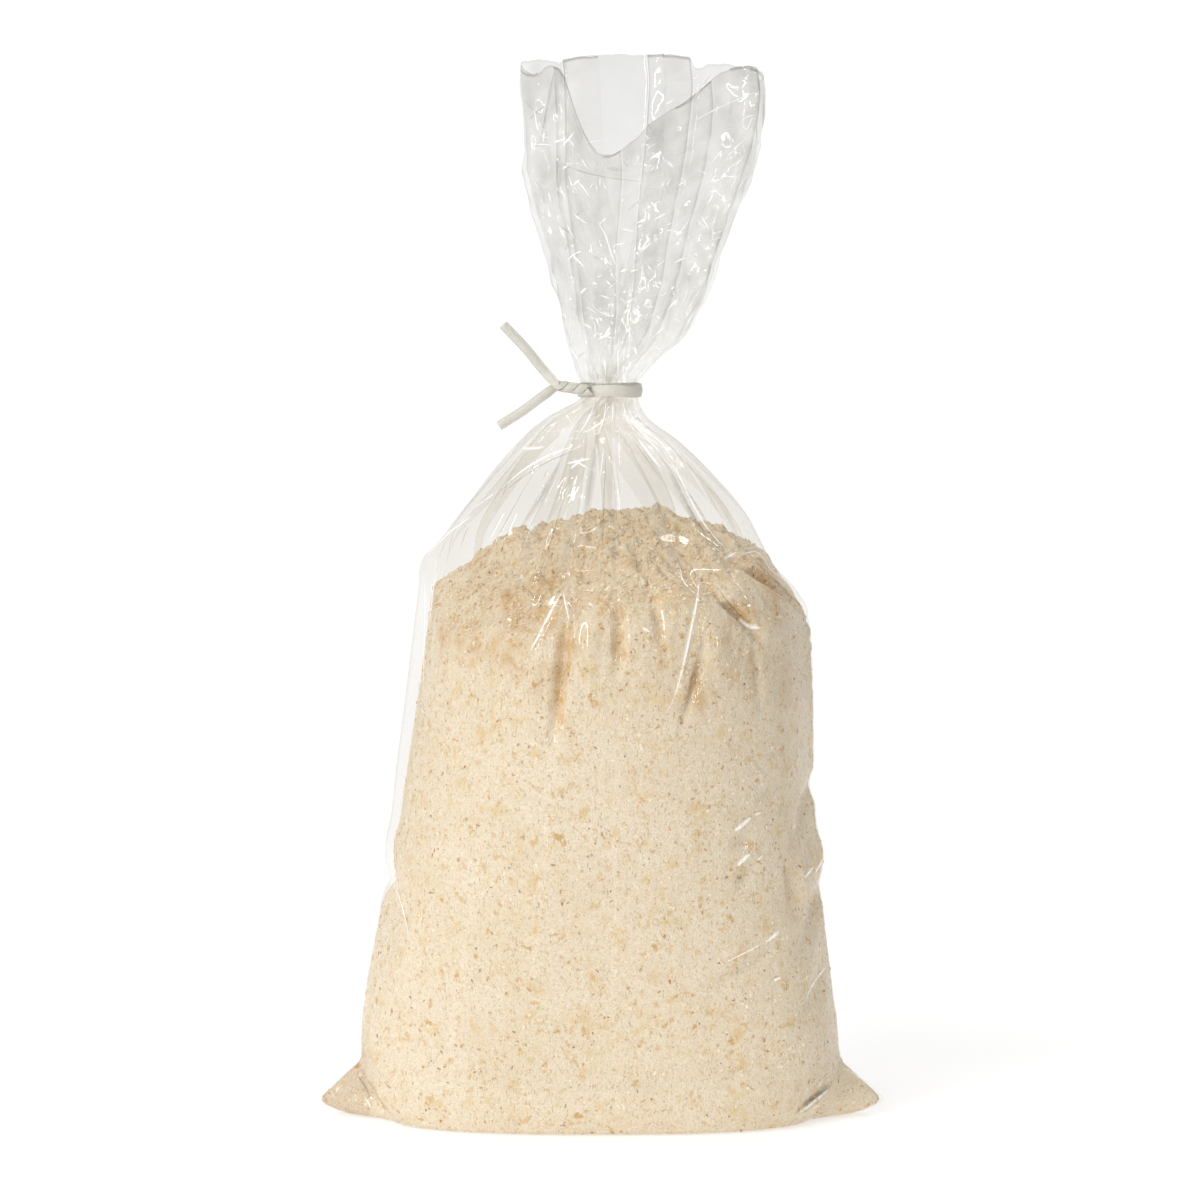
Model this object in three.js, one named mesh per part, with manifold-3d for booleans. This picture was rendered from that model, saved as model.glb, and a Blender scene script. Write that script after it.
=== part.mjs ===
// A clear film bag of breadcrumbs. It stands on its base, its neck is gathered and closed with a
// wired twist tie, and above the tie the film flares into an open, crumpled mouth.
//
// Millimetres, +Z up, the front of the bag faces -Y. The origin is on the floor, under the middle
// of the bag. The bag is one solid: filled up to the tie, and a thin-walled open funnel above it.

import * as THREE from "three";
import { mergeVertices } from "three/addons/utils/BufferGeometryUtils.js";
import Module from "manifold-3d";

// ---- Driving dimensions ----

const FLAT_WIDTH = 162; // the empty bag laid flat: its film is twice this all the way round
const TIE_HEIGHT = 205;
const TOP_HEIGHT = 299; // highest point of the mouth's rim
const FUNNEL_FLOOR = 222; // below this the film above the tie is squeezed shut
const FUNNEL_NARROWS = 0.75; // how far the walls have closed in on the middle at its floor
const WALL = 1.3; // film of the funnel, far thicker than the real 0.04

const TIE_WIDTH = 3.5;
const TIE_EDGE = 0.4; // thickness of the strip at its edges
const TIE_WIRE = 0.95; // thickness over the wire in its middle
const TIE_RADIUS = 8.75; // middle of the strip, round the neck
const NECK_X = 2.7; // the neck stands a little right of the middle

// ---- Outline: [height, distance from the axis] ----

// The filled bag, to the left and right of the axis, without the creased film at its sides.
const BODY_LEFT = profile([
  [0, 60], [7, 64.5], [21, 66.5], [35, 64.8], [62, 59.2], [96, 54.2], [122, 50.2], [150, 46.4],
  [158, 45.2], [166, 42.5], [177, 34.2], [190, 23], [197, 15], [201.5, 6.8], [203, 5.2],
  [207, 5.2], [209, 6.2], [214, 7.8], [225, 11.2], [248, 16.8], [260, 19.8], [275, 21.4],
  [TOP_HEIGHT, 22.4],
]);
const BODY_RIGHT = profile([
  [0, 60], [7, 65], [21, 66.4], [35, 64.3], [62, 60.4], [90, 57.8], [122, 57.2], [143, 55.8],
  [150, 53], [156, 48.6], [163, 45.4], [170, 41.7], [177, 36], [190, 22.6], [197, 13.4],
  [201.5, 10.8], [203, 10.6], [207, 10.6], [209, 12], [214, 16.4], [220, 22.6], [226, 26.2],
  [236, 31], [248, 35], [260, 39.4], [275, 44], [290, 46.6], [TOP_HEIGHT, 46],
]);

// How far the film stands out beyond the filled bag at its two edges: the corners of the bottom
// seam as ears, and above them a thin pointed crease on each side.
const EAR = profile([[0, 11], [1.5, 14.6], [4, 17.2], [8, 11.6], [12, 7.2], [17, 2.8], [23, 0]]);
const CREASE_LEFT = profile([
  [0, 0], [14, 0.6], [35, 1.6], [62, 2.4], [96, 3.5], [122, 4.2], [150, 4.6], [157, 4.7],
  [164, 0.6], [168, 0],
]);
const CREASE_RIGHT = profile([
  [0, 0], [14, 0.6], [35, 1.6], [82, 2.8], [122, 2.7], [143, 2.6], [150, 1.6], [156, 0.4], [162, 0],
]);
const EDGE_ANGLE = 14; // degrees each side of the bag's edge that the ears and creases take
const EAR_HOLLOW = 1.5; // above 1, the film caves in between an ear and the body
const CREASE_HOLLOW = 1.8;

// Share of the film's girth that the pleats take up, which leaves the rest for the outline.
const GATHERED = profile([
  [0, 0.1], [7, 0.02], [20, 0], [136, 0], [150, 0.06], [158, 0.16], [166, 0.27], [172, 0.35],
  [184, 0.5], [192, 0.62], [199, 0.76], [203, 0.85], [207, 0.85], [213, 0.81], [220, 0.75],
  [230, 0.7], [248, 0.63], [262, 0.58], [280, 0.53], [TOP_HEIGHT, 0.5],
]);

// How square the cross-section is: 2 is an ellipse, more fills out its corners.
const SQUARENESS = profile([[0, 2.6], [20, 2.5], [60, 2.3], [120, 2.15], [158, 2], [TOP_HEIGHT, 2]]);

// Buckles in the filled film: each is centred on an angle and a height, reaches wide degrees to
// each side and tall millimetres up and down, and runs up by slope millimetres a degree.
const BUCKLES = [
  { angle: 180, height: 67.5, wide: 34, tall: 5, slope: -0.35, depth: 1.7 },
  { angle: 184, height: 77, wide: 30, tall: 8, slope: -0.2, depth: -0.9 },
  { angle: 352, height: 90, wide: 26, tall: 6, slope: 0.5, depth: 1.5 },
  { angle: 356, height: 73, wide: 30, tall: 9, slope: 0.4, depth: -1.6 },
  { angle: 346, height: 58, wide: 22, tall: 6, slope: 0.5, depth: 1.4 },
  { angle: 340, height: 38, wide: 20, tall: 6, slope: 0.4, depth: 1.1 },
  { angle: 20, height: 66, wide: 24, tall: 6, slope: -0.5, depth: 1.2 },
  { angle: 160, height: 52, wide: 22, tall: 6, slope: 0.4, depth: 1.1 },
];

// ---- Pleats ----

// Each pleat is a valley after its ridge, an angle in degrees with 0 at the right and 270 in front.
// foot is the height where it runs out on the body, and depth scales it.
const PLEATS = [
  { ridge: 0, depth: 0.3, foot: 150 },
  { ridge: 14, depth: 0.9, foot: 146 },
  { ridge: 38, depth: 1.1, foot: 140 },
  { ridge: 64, depth: 0.9, foot: 144 },
  { ridge: 88, depth: 1.1, foot: 136 },
  { ridge: 112, depth: 0.8, foot: 145 },
  { ridge: 140, depth: 1.0, foot: 142 },
  { ridge: 166, depth: 0.3, foot: 152 },
  { ridge: 180, depth: 0.3, foot: 156 },
  { ridge: 194, depth: 0.6, foot: 154 },
  { ridge: 222, depth: 0.8, foot: 146 },
  { ridge: 246, depth: 0.9, foot: 122 },
  { ridge: 266, depth: 0.9, foot: 124 },
  { ridge: 284, depth: 0.7, foot: 136 },
  { ridge: 298, depth: 1.7, foot: 128 },
  { ridge: 320, depth: 0.6, foot: 150 },
  { ridge: 330, depth: 1.5, foot: 137 },
  { ridge: 346, depth: 0.3, foot: 146 },
];
const PLEAT_DEPTH = profile([
  [120, 1.6], [150, 3], [166, 3.6], [180, 4], [192, 3.2], [199, 2.2], [203, 1.2], [207, 1.2],
  [212, 1.8], [218, 2.2], [230, 1.4], [245, 0.7], [TOP_HEIGHT, 0],
]);
const PLEAT_RUN = 36; // height over which a pleat deepens above its foot

// The flare has fewer and deeper folds, whose ridges carry on from some of the pleats.
const FLARE_FOLDS = [
  { ridge: 0, depth: 0.9 },
  { ridge: 64, depth: 0.4 },
  { ridge: 112, depth: 0.9 },
  { ridge: 180, depth: 0.8 },
  { ridge: 222, depth: 1.0 },
  { ridge: 266, depth: 1.0 },
  { ridge: 320, depth: 0.8 },
];
const FLARE_DEPTH = profile([[207, 0], [216, 1.2], [230, 3], [250, 5], [280, 6], [TOP_HEIGHT, 6.4]]);

// Height of the rim by angle: straight at the back, dipping in front to a lip that leans out.
const RIM = profile([
  [0, 290], [20, 293], [45, 296], [64, 298.6], [112, TOP_HEIGHT], [150, 297], [180, 294.5],
  [200, 289], [222, 273], [246, 264.5], [266, 264], [284, 276], [300, 288], [320, 295.5],
  [346, 293.5], [360, 290],
]);
const LIP_LEAN = 7;
const LIP_ANGLE = 256;
const LIP_SPREAD = 40; // degrees

// ---- Twist tie ----

const TWIST_TURNS = 1.25;
const TWIST_START = new THREE.Vector3(-4.6, -5.6, 205);
const TWIST_END = new THREE.Vector3(-12.2, -8.2, 206.4);
const STRAND_OFFSET = 0.62; // from the twist's axis to the middle of each strand

// Each strand's free tail: where it bends and where it ends.
const TAILS = [
  { start: 0, points: [[-15.2, -8.8, 210.4], [-20.6, -9.3, 217], [-26.8, -9.8, 223.6]] },
  { start: Math.PI, points: [[-16.4, -9.2, 203.4], [-21.6, -10, 199.6], [-28, -10.8, 195.6]] },
];
const TAIL_FACING = new THREE.Vector3(0.1, -1, 0.15); // the way that the flat of a tail looks

// ---- Where the surfaces are sampled ----

const STEPS_PER_PLEAT = 4;
const BODY_LEVELS = [
  0, 1.5, 4, 8, 12, 17, 23, 30, 38, 46, 54, 60, 66, 71, 76, 82, 88, 94, 103, 113, 123, 132, 139,
  145, 150, 154, 158, 162, 166, 171, 177, 183, 189, 194, 198, 201.5, 203,
];
const FLARE_LEVELS = [TIE_HEIGHT, 207, 209, 212, 216, 221, 227, 234, 242, 251, 261, 272, 284, 293,
  TOP_HEIGHT];
const INSIDE_LEVELS = [TOP_HEIGHT, 289, 275, 261, 248, 236, 227];
const RING_STEPS = 36;
const TWIST_STEPS = 14;
const TAIL_STEPS = 10;
const UNTWIST_STEPS = 4; // of the tail's steps, over which the strip turns its flat to the front
const TAIL_FROM = 0.2; // share of a tail's route that the end of the twist already covers

// ---- Helpers ----

// A smooth curve through [position, value] pairs, level past both ends.
function profile(pairs) {
  const last = pairs.length - 1;
  const slopes = pairs.map((_, i) => {
    const [from, to] = [pairs[Math.max(i - 1, 0)], pairs[Math.min(i + 1, last)]];
    return (to[1] - from[1]) / (to[0] - from[0]);
  });
  return (at) => {
    if (at <= pairs[0][0]) return pairs[0][1];
    if (at >= pairs[last][0]) return pairs[last][1];
    const i = pairs.findIndex(([position]) => position > at) - 1;
    const [[p0, v0], [p1, v1]] = [pairs[i], pairs[i + 1]];
    const span = p1 - p0;
    const t = (at - p0) / span;
    const rise = t * t * (3 - 2 * t);
    return (
      v0 + (v1 - v0) * rise +
      span * (slopes[i] * t * (1 - t) ** 2 - slopes[i + 1] * t * t * (1 - t))
    );
  };
}

function smoothstep(t) {
  const clamped = Math.min(Math.max(t, 0), 1);
  return clamped * clamped * (3 - 2 * clamped);
}

// Length round an ellipse, by Ramanujan's formula.
function girthOf(a, b) {
  return Math.PI * (3 * (a + b) - Math.sqrt((3 * a + b) * (a + 3 * b)));
}

// Half-depth of an ellipse whose half-width and girth are known.
function halfDepth(halfWidth, girth) {
  let [low, high] = [1, girth];
  for (let i = 0; i < 40; i++) {
    const middle = (low + high) / 2;
    if (girthOf(halfWidth, middle) < girth) low = middle;
    else high = middle;
  }
  return low;
}

// The fold that an angle lies in, and how far it is down that fold's valley: 0 ridge, 1 bottom.
function valleyAt(folds, angle) {
  const i = folds.findLastIndex(({ ridge }) => ridge <= angle + 1e-6);
  const end = i + 1 < folds.length ? folds[i + 1].ridge : 360;
  const along = (angle - folds[i].ridge) / (end - folds[i].ridge);
  return { fold: folds[i], down: 1 - Math.abs(2 * along - 1) };
}

// How far the buckles push the film in at a place.
function buckledIn(height, angle) {
  return BUCKLES.reduce((sum, { angle: middle, height: level, wide, tall, slope, depth }) => {
    const around = ((angle - middle + 540) % 360) - 180;
    const above = height - level - slope * around;
    const near = smoothstep(1 - Math.abs(around) / wide) * smoothstep(1 - Math.abs(above) / tall);
    return sum + depth * near;
  }, 0);
}

// How far the film is folded in from the outline, in millimetres.
function foldedIn(height, angle) {
  const pleat = valleyAt(PLEATS, angle);
  const grown = smoothstep((height - pleat.fold.foot) / PLEAT_RUN);
  const flare = valleyAt(FLARE_FOLDS, angle);
  return (
    PLEAT_DEPTH(height) * pleat.fold.depth * grown * pleat.down +
    FLARE_DEPTH(height) * flare.fold.depth * flare.down +
    buckledIn(height, angle)
  );
}

// Middle, half-width and half-depth of the cross-section at a height.
function sectionAt(height) {
  const left = BODY_LEFT(height);
  const right = BODY_RIGHT(height);
  const creases = CREASE_LEFT(height) + CREASE_RIGHT(height);
  const girth = 2 * FLAT_WIDTH * (1 - GATHERED(height)) - 2 * creases;
  const halfWidth = (left + right) / 2;
  return { middle: (right - left) / 2, halfWidth, halfDepth: halfDepth(halfWidth, girth) };
}

// How far the film stands out beyond the filled bag at an angle: only near the two edges.
function creaseOut(height, angle) {
  const toRight = Math.min(angle, 360 - angle);
  const toLeft = Math.abs(angle - 180);
  const crease = (toRight < toLeft ? CREASE_RIGHT : CREASE_LEFT)(height);
  const share = Math.max(0, 1 - Math.min(toRight, toLeft) / EDGE_ANGLE);
  return crease * share ** CREASE_HOLLOW + EAR(height) * share ** EAR_HOLLOW;
}

// A point of the film's outer surface, less inset. Above the tie the height is stretched so that
// the level TOP_HEIGHT follows the rim.
function filmPoint(height, angle, inset = 0) {
  const { middle, halfWidth, halfDepth: half } = sectionAt(height);
  const turn = THREE.MathUtils.degToRad(angle);
  const power = 2 / SQUARENESS(height);
  const across = Math.sign(Math.cos(turn)) * Math.abs(Math.cos(turn)) ** power * halfWidth;
  const deep = Math.sign(Math.sin(turn)) * Math.abs(Math.sin(turn)) ** power * half;
  const reach = Math.hypot(across, deep);
  const shrink = 1 - (foldedIn(height, angle) + inset) / reach;
  const out = Math.sign(Math.cos(turn)) * creaseOut(height, angle);
  const share = Math.max(0, (height - TIE_HEIGHT) / (TOP_HEIGHT - TIE_HEIGHT));
  const frontness = smoothstep(1 - Math.abs(angle - LIP_ANGLE) / LIP_SPREAD);
  return new THREE.Vector3(
    middle + across * shrink + out,
    deep * shrink - LIP_LEAN * frontness * share ** 3,
    share > 0 ? TIE_HEIGHT + (RIM(angle) - TIE_HEIGHT) * share : height,
  );
}

// A closed surface over rings of points, with a fan over each end. A loop has no ends.
function loft(rings, loop = false) {
  const around = rings[0].length;
  const points = rings.flat();
  const faces = [];
  const bands = loop ? rings.length : rings.length - 1;
  for (let i = 0; i < bands; i++) {
    const [lower, upper] = [i * around, ((i + 1) % rings.length) * around];
    for (let j = 0; j < around; j++) {
      const next = (j + 1) % around;
      faces.push(lower + j, lower + next, upper + next, lower + j, upper + next, upper + j);
    }
  }
  if (!loop) {
    for (const [start, turned] of [[0, true], [(rings.length - 1) * around, false]]) {
      const ring = points.slice(start, start + around);
      const centre = ring.reduce((sum, p) => sum.add(p), new THREE.Vector3());
      points.push(centre.divideScalar(around));
      for (let j = 0; j < around; j++) {
        const [a, b] = [start + j, start + ((j + 1) % around)];
        faces.push(points.length - 1, ...(turned ? [b, a] : [a, b]));
      }
    }
  }
  const geometry = new THREE.BufferGeometry().setFromPoints(points).setIndex(faces);
  geometry.computeVertexNormals();
  return geometry;
}

// ---- The bag ----

function bagGeometry() {
  const angles = PLEATS.flatMap(({ ridge }, i) => {
    const end = i + 1 < PLEATS.length ? PLEATS[i + 1].ridge : 360;
    return Array.from({ length: STEPS_PER_PLEAT }, (_, k) =>
      THREE.MathUtils.lerp(ridge, end, k / STEPS_PER_PLEAT),
    );
  });
  const outside = [...BODY_LEVELS, ...FLARE_LEVELS].map((height) =>
    angles.map((angle) => filmPoint(height, angle)),
  );
  const inside = INSIDE_LEVELS.map((height) =>
    angles.map((angle) => filmPoint(height, angle, WALL)),
  );
  const middle = new THREE.Vector3(sectionAt(FUNNEL_FLOOR).middle, 0, FUNNEL_FLOOR);
  const floor = angles.map((angle) => filmPoint(FUNNEL_FLOOR, angle).lerp(middle, FUNNEL_NARROWS));
  return loft([...outside, ...inside, floor]);
}

// ---- The twist tie ----

// Half of the strip's cross-section, across its width: flat, with the wire as a rib in the middle.
const STRIP_SECTION = [
  [-TIE_WIDTH / 2, TIE_EDGE / 2],
  [-TIE_WIDTH / 5, TIE_EDGE / 2],
  [0, TIE_WIRE / 2],
  [TIE_WIDTH / 5, TIE_EDGE / 2],
  [TIE_WIDTH / 2, TIE_EDGE / 2],
];

// A strip along centres, with its width along the matching direction at each one.
function strip(centres, widths, loop = false) {
  const count = centres.length;
  const rings = centres.map((centre, i) => {
    const before = centres[loop ? (i + count - 1) % count : Math.max(i - 1, 0)];
    const after = centres[loop ? (i + 1) % count : Math.min(i + 1, count - 1)];
    const along = after.clone().sub(before).normalize();
    const wide = widths[i].clone().addScaledVector(along, -widths[i].dot(along)).normalize();
    const thick = along.clone().cross(wide);
    const side = (sign) =>
      STRIP_SECTION.map(([u, v]) =>
        centre.clone().addScaledVector(wide, u * sign).addScaledVector(thick, -v * sign),
      );
    return [...side(1), ...side(-1)];
  });
  return loft(rings, loop);
}

function tieRing() {
  const turns = Array.from({ length: RING_STEPS }, (_, i) => (2 * Math.PI * i) / RING_STEPS);
  const centres = turns.map(
    (turn) =>
      new THREE.Vector3(
        NECK_X + TIE_RADIUS * Math.cos(turn),
        TIE_RADIUS * Math.sin(turn),
        TIE_HEIGHT,
      ),
  );
  return strip(centres, turns.map(() => new THREE.Vector3(0, 0, 1)), true);
}

function tieStrand({ start, points }) {
  const axis = TWIST_END.clone().sub(TWIST_START).normalize();
  const up = new THREE.Vector3(0, 0, 1).addScaledVector(axis, -axis.z).normalize();
  const side = axis.clone().cross(up);
  const centres = [];
  const widths = [];
  for (let i = 0; i <= TWIST_STEPS; i++) {
    const turn = start + (2 * Math.PI * TWIST_TURNS * i) / TWIST_STEPS;
    const off = side.clone().multiplyScalar(Math.cos(turn)).addScaledVector(up, Math.sin(turn));
    const on = TWIST_START.clone().lerp(TWIST_END, i / TWIST_STEPS);
    centres.push(on.addScaledVector(off, STRAND_OFFSET));
    widths.push(axis.clone().cross(off));
  }
  const [beforeLast, last] = centres.slice(-2);
  const route = new THREE.CatmullRomCurve3(
    [beforeLast, last, ...points.map((p) => new THREE.Vector3(...p))],
    false,
    "centripetal",
  );
  const twisted = widths.at(-1);
  for (let i = 1; i <= TAIL_STEPS; i++) {
    const share = THREE.MathUtils.lerp(TAIL_FROM, 1, i / TAIL_STEPS);
    centres.push(route.getPoint(share));
    const flat = route.getTangent(share).cross(TAIL_FACING).normalize();
    if (flat.dot(twisted) < 0) flat.negate();
    widths.push(twisted.clone().lerp(flat, smoothstep(i / UNTWIST_STEPS)));
  }
  return strip(centres, widths);
}

// ---- Joining and placing ----

function joined(wasm, geometries) {
  const solids = geometries.map((geometry) => {
    const bare = new THREE.BufferGeometry()
      .setAttribute("position", geometry.getAttribute("position"))
      .setIndex(geometry.index);
    const merged = mergeVertices(bare);
    return new wasm.Manifold(
      new wasm.Mesh({
        numProp: 3,
        vertProperties: merged.attributes.position.array,
        triVerts: new Uint32Array(merged.index.array),
      }),
    );
  });
  const { vertProperties, triVerts } = solids.reduce((a, b) => a.add(b)).getMesh();
  const geometry = new THREE.BufferGeometry()
    .setAttribute("position", new THREE.BufferAttribute(vertProperties, 3))
    .setIndex(new THREE.BufferAttribute(triVerts, 1));
  geometry.computeVertexNormals();
  return geometry;
}

const wasm = await Module();
wasm.setup();

const filledBag = new THREE.MeshStandardMaterial({ color: 0xe8d9bb, roughness: 0.55, metalness: 0 });
const tiePaper = new THREE.MeshStandardMaterial({ color: 0xd9d8d0, roughness: 0.45, metalness: 0 });

const bag = new THREE.Mesh(bagGeometry(), filledBag);
bag.name = "bag";

const tie = new THREE.Mesh(joined(wasm, [tieRing(), ...TAILS.map(tieStrand)]), tiePaper);
tie.name = "tie";

const part = new THREE.Group();
part.add(bag, tie);

export default part;
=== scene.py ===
"""A clear film bag of breadcrumbs, tied at the neck with a wired twist tie.

The film is one sheet of constant girth. Where the bag narrows, what the outline doesn't need goes
into pleats, so the pleats deepen towards the tie and open again towards the mouth. Pinched creases
with painted highlights, white and glowing a little, and fold lines, partly painted shade, lie on the
film as thin raised strips. Inside it are a core of crumbs with relief, with painted shade in some
furrows, a pocket and on the ears, and, on the core, loose grains of several kinds.

Sizes are in millimetres until a mesh is made, with +Z up and the front facing -Y, as in the frame.
Angles go round the bag in degrees: 0 is its right edge, 90 its back, 180 its left, 270 its front.
"""

import math

import bpy
import numpy as np
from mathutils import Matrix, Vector
from mathutils.bvhtree import BVHTree


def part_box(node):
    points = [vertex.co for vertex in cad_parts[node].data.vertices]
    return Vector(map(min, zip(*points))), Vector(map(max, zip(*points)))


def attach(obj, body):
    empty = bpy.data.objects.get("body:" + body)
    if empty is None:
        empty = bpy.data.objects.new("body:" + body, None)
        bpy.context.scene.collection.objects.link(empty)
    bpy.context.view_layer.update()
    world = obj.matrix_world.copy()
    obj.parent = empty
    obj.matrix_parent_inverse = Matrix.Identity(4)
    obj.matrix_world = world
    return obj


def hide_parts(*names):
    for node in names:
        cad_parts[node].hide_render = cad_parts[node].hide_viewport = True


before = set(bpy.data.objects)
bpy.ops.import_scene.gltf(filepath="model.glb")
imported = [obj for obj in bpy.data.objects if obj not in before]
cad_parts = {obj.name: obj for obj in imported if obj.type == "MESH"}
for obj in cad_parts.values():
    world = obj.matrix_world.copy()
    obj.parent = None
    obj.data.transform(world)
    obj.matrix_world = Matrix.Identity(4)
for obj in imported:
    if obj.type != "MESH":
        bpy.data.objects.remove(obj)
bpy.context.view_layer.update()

MM = 0.001

# ---- Driving sizes ----

TOP_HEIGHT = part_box("bag")[1][2] / MM
FILM_GIRTH = 324.0  # twice the width of the empty bag laid flat
TIE_HEIGHT = 205.0
NECK_X = 2.7
TIE_RADIUS = 8.75
MOUTH_X = 10.8  # the middle of the mouth
FILM_GAP = 0.5  # from the crumbs to the film that lies against them

# The photograph and its camera.
PHOTO_PIXELS = 1200
PHOTO_MIDDLE = PHOTO_PIXELS / 2
PHOTO_MM = 0.28  # millimetres to a pixel, at the bag's middle
FLOOR_PIXEL = 1119.5  # row of pixels where the floor lies under the bag's middle
CAMERA_DISTANCE = 1400.0
CAMERA_ELEVATION = 5.5


# ---- Helpers for shapes ----


def profile(pairs):
    """A smooth curve through (position, value) pairs, level past both ends."""
    places, values = np.array(pairs, float).T
    before = np.maximum(np.arange(len(places)) - 1, 0)
    after = np.minimum(np.arange(len(places)) + 1, len(places) - 1)
    slopes = (values[after] - values[before]) / (places[after] - places[before])

    def curve(at):
        at = np.clip(at, places[0], places[-1])
        i = np.clip(np.searchsorted(places, at, side="right") - 1, 0, len(places) - 2)
        span = places[i + 1] - places[i]
        t = (at - places[i]) / span
        rise = t * t * (3 - 2 * t)
        ends = slopes[i] * t * (1 - t) ** 2 - slopes[i + 1] * t * t * (1 - t)
        return values[i] + (values[i + 1] - values[i]) * rise + span * ends

    return curve


def smoothstep(t):
    t = np.clip(t, 0, 1)
    return t * t * (3 - 2 * t)


def angle_between(a, b):
    """Signed degrees from b to a, from -180 to 180."""
    return (a - b + 180) % 360 - 180


def girth_of(a, b):
    """Length round an ellipse, by Ramanujan's formula."""
    return math.pi * (3 * (a + b) - np.sqrt((3 * a + b) * (a + 3 * b)))


def half_depth(half_width, girth):
    """Half-depth of an ellipse whose half-width and girth are known."""
    low = np.ones_like(half_width)
    high = girth.copy()
    for _ in range(40):
        middle = (low + high) / 2
        short = girth_of(half_width, middle) < girth
        low = np.where(short, middle, low)
        high = np.where(short, high, middle)
    return low


def unit(v):
    return v / np.linalg.norm(v, axis=-1, keepdims=True)


def length_along(points):
    """Distance from the first of some points to each of them, along the line through them."""
    return np.concatenate([[0], np.cumsum(np.linalg.norm(np.diff(points, axis=0), axis=1))])


def resampled(points, count):
    """Evenly spaced points along the line through some points."""
    reach = length_along(points)
    at = np.linspace(0, reach[-1], count)
    return np.stack([np.interp(at, reach, points[:, k]) for k in range(points.shape[1])], axis=1)


SPAN_STEPS = 24  # samples of a smooth path between two of its points


def smooth_path(points, count):
    """A centripetal Catmull-Rom curve through points, evenly sampled."""
    points = np.array(points, float)
    full = np.vstack([2 * points[0] - points[1], points, 2 * points[-1] - points[-2]])
    samples = []
    for i in range(len(points) - 1):
        p = full[i : i + 4]
        knots = np.concatenate([[0], np.cumsum(np.sqrt(np.linalg.norm(np.diff(p, axis=0), axis=1)))])
        t = np.linspace(knots[1], knots[2], SPAN_STEPS, endpoint=False)[:, None]
        a = [
            (knots[j + 1] - t) / (knots[j + 1] - knots[j]) * p[j]
            + (t - knots[j]) / (knots[j + 1] - knots[j]) * p[j + 1]
            for j in range(3)
        ]
        b = [
            (knots[j + 2] - t) / (knots[j + 2] - knots[j]) * a[j]
            + (t - knots[j]) / (knots[j + 2] - knots[j]) * a[j + 1]
            for j in range(2)
        ]
        samples.append(
            (knots[2] - t) / (knots[2] - knots[1]) * b[0]
            + (t - knots[1]) / (knots[2] - knots[1]) * b[1]
        )
    return resampled(np.vstack(samples + [points[-1:]]), count)


# ---- Outline of the bag: (height, distance from the axis), as in the frame ----

BODY_LEFT = profile([
    (0, 60), (7, 64.5), (21, 66.5), (35, 64.8), (62, 59.2), (96, 54.2), (122, 50.2), (150, 46.4),
    (158, 45.2), (166, 42.5), (177, 34.2), (190, 23), (197, 15), (201.5, 6.8), (203, 5.2),
    (207, 5.2), (209, 6.2), (214, 7.8), (225, 11.2), (248, 16.8), (260, 19.8), (275, 21.4),
    (299, 22.4),
])
BODY_RIGHT = profile([
    (0, 60), (7, 65), (21, 66.4), (35, 64.3), (62, 60.4), (90, 57.8), (122, 57.2), (143, 55.8),
    (150, 53), (156, 48.6), (163, 45.4), (170, 41.7), (177, 36), (190, 22.6), (197, 13.4),
    (201.5, 10.8), (203, 10.6), (207, 10.6), (209, 12), (214, 16.4), (220, 22.6), (226, 26.2),
    (236, 31), (248, 35), (260, 39.4), (275, 44), (290, 46.6), (299, 46),
])
EAR = profile([
    (0, 11), (1.5, 14.6), (4, 17), (8, 11.4), (12, 5.8), (15, 1.9), (18, 0.5), (23, 0),
])
CREASE_LEFT = profile([
    (0, 0), (14, 0.6), (35, 1.6), (62, 2.4), (96, 3.5), (122, 4.2), (150, 4.6), (157, 4.7),
    (164, 0.6), (168, 0),
])
CREASE_RIGHT = profile([
    (0, 0), (14, 0.6), (35, 1.6), (82, 2.8), (122, 2.7), (143, 2.6), (150, 1.6), (156, 0.4),
    (162, 0),
])
EDGE_ANGLE = 14.0
EAR_HOLLOW = 1.5
CREASE_HOLLOW = 1.8
GATHERED = profile([
    (0, 0.1), (7, 0.02), (20, 0), (136, 0), (150, 0.06), (158, 0.16), (166, 0.27), (172, 0.35),
    (184, 0.5), (192, 0.62), (199, 0.76), (203, 0.85), (207, 0.85), (213, 0.81), (220, 0.75),
    (230, 0.7), (248, 0.63), (262, 0.58), (280, 0.53), (299, 0.5),
])
SQUARENESS = profile([(0, 2.6), (20, 2.5), (60, 2.3), (120, 2.15), (158, 2), (299, 2)])

# Height of the mouth's rim by angle.
RIM = profile([
    (0, 291), (20, 294), (56, 295.5), (64, 294.6), (67, 297.2), (90, 298.2), (120, 297.6),
    (134, 296.2), (142, 296.6), (152, 296.4), (170, 296), (186, 293.5), (206, 292.5),
    (218, 294.5), (228, 293.5), (233, 287.5), (238, 280), (246, 272), (255, 270.4),
    (266, 274.5), (274, 279.5), (292, 285.5), (304, 291), (316, 294), (332, 294.6),
    (350, 292.5), (360, 291),
])
# The rim's small unevenness: height, waves for each mm along the film, phase.
RAGGED = [(0.12, 1.1, 0), (0.2, 0.43, 2), (0.06, 2.3, 1)]
LIP_LEAN = 7.0
LIP_ANGLE = 256.0
LIP_SPREAD = 40.0

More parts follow.
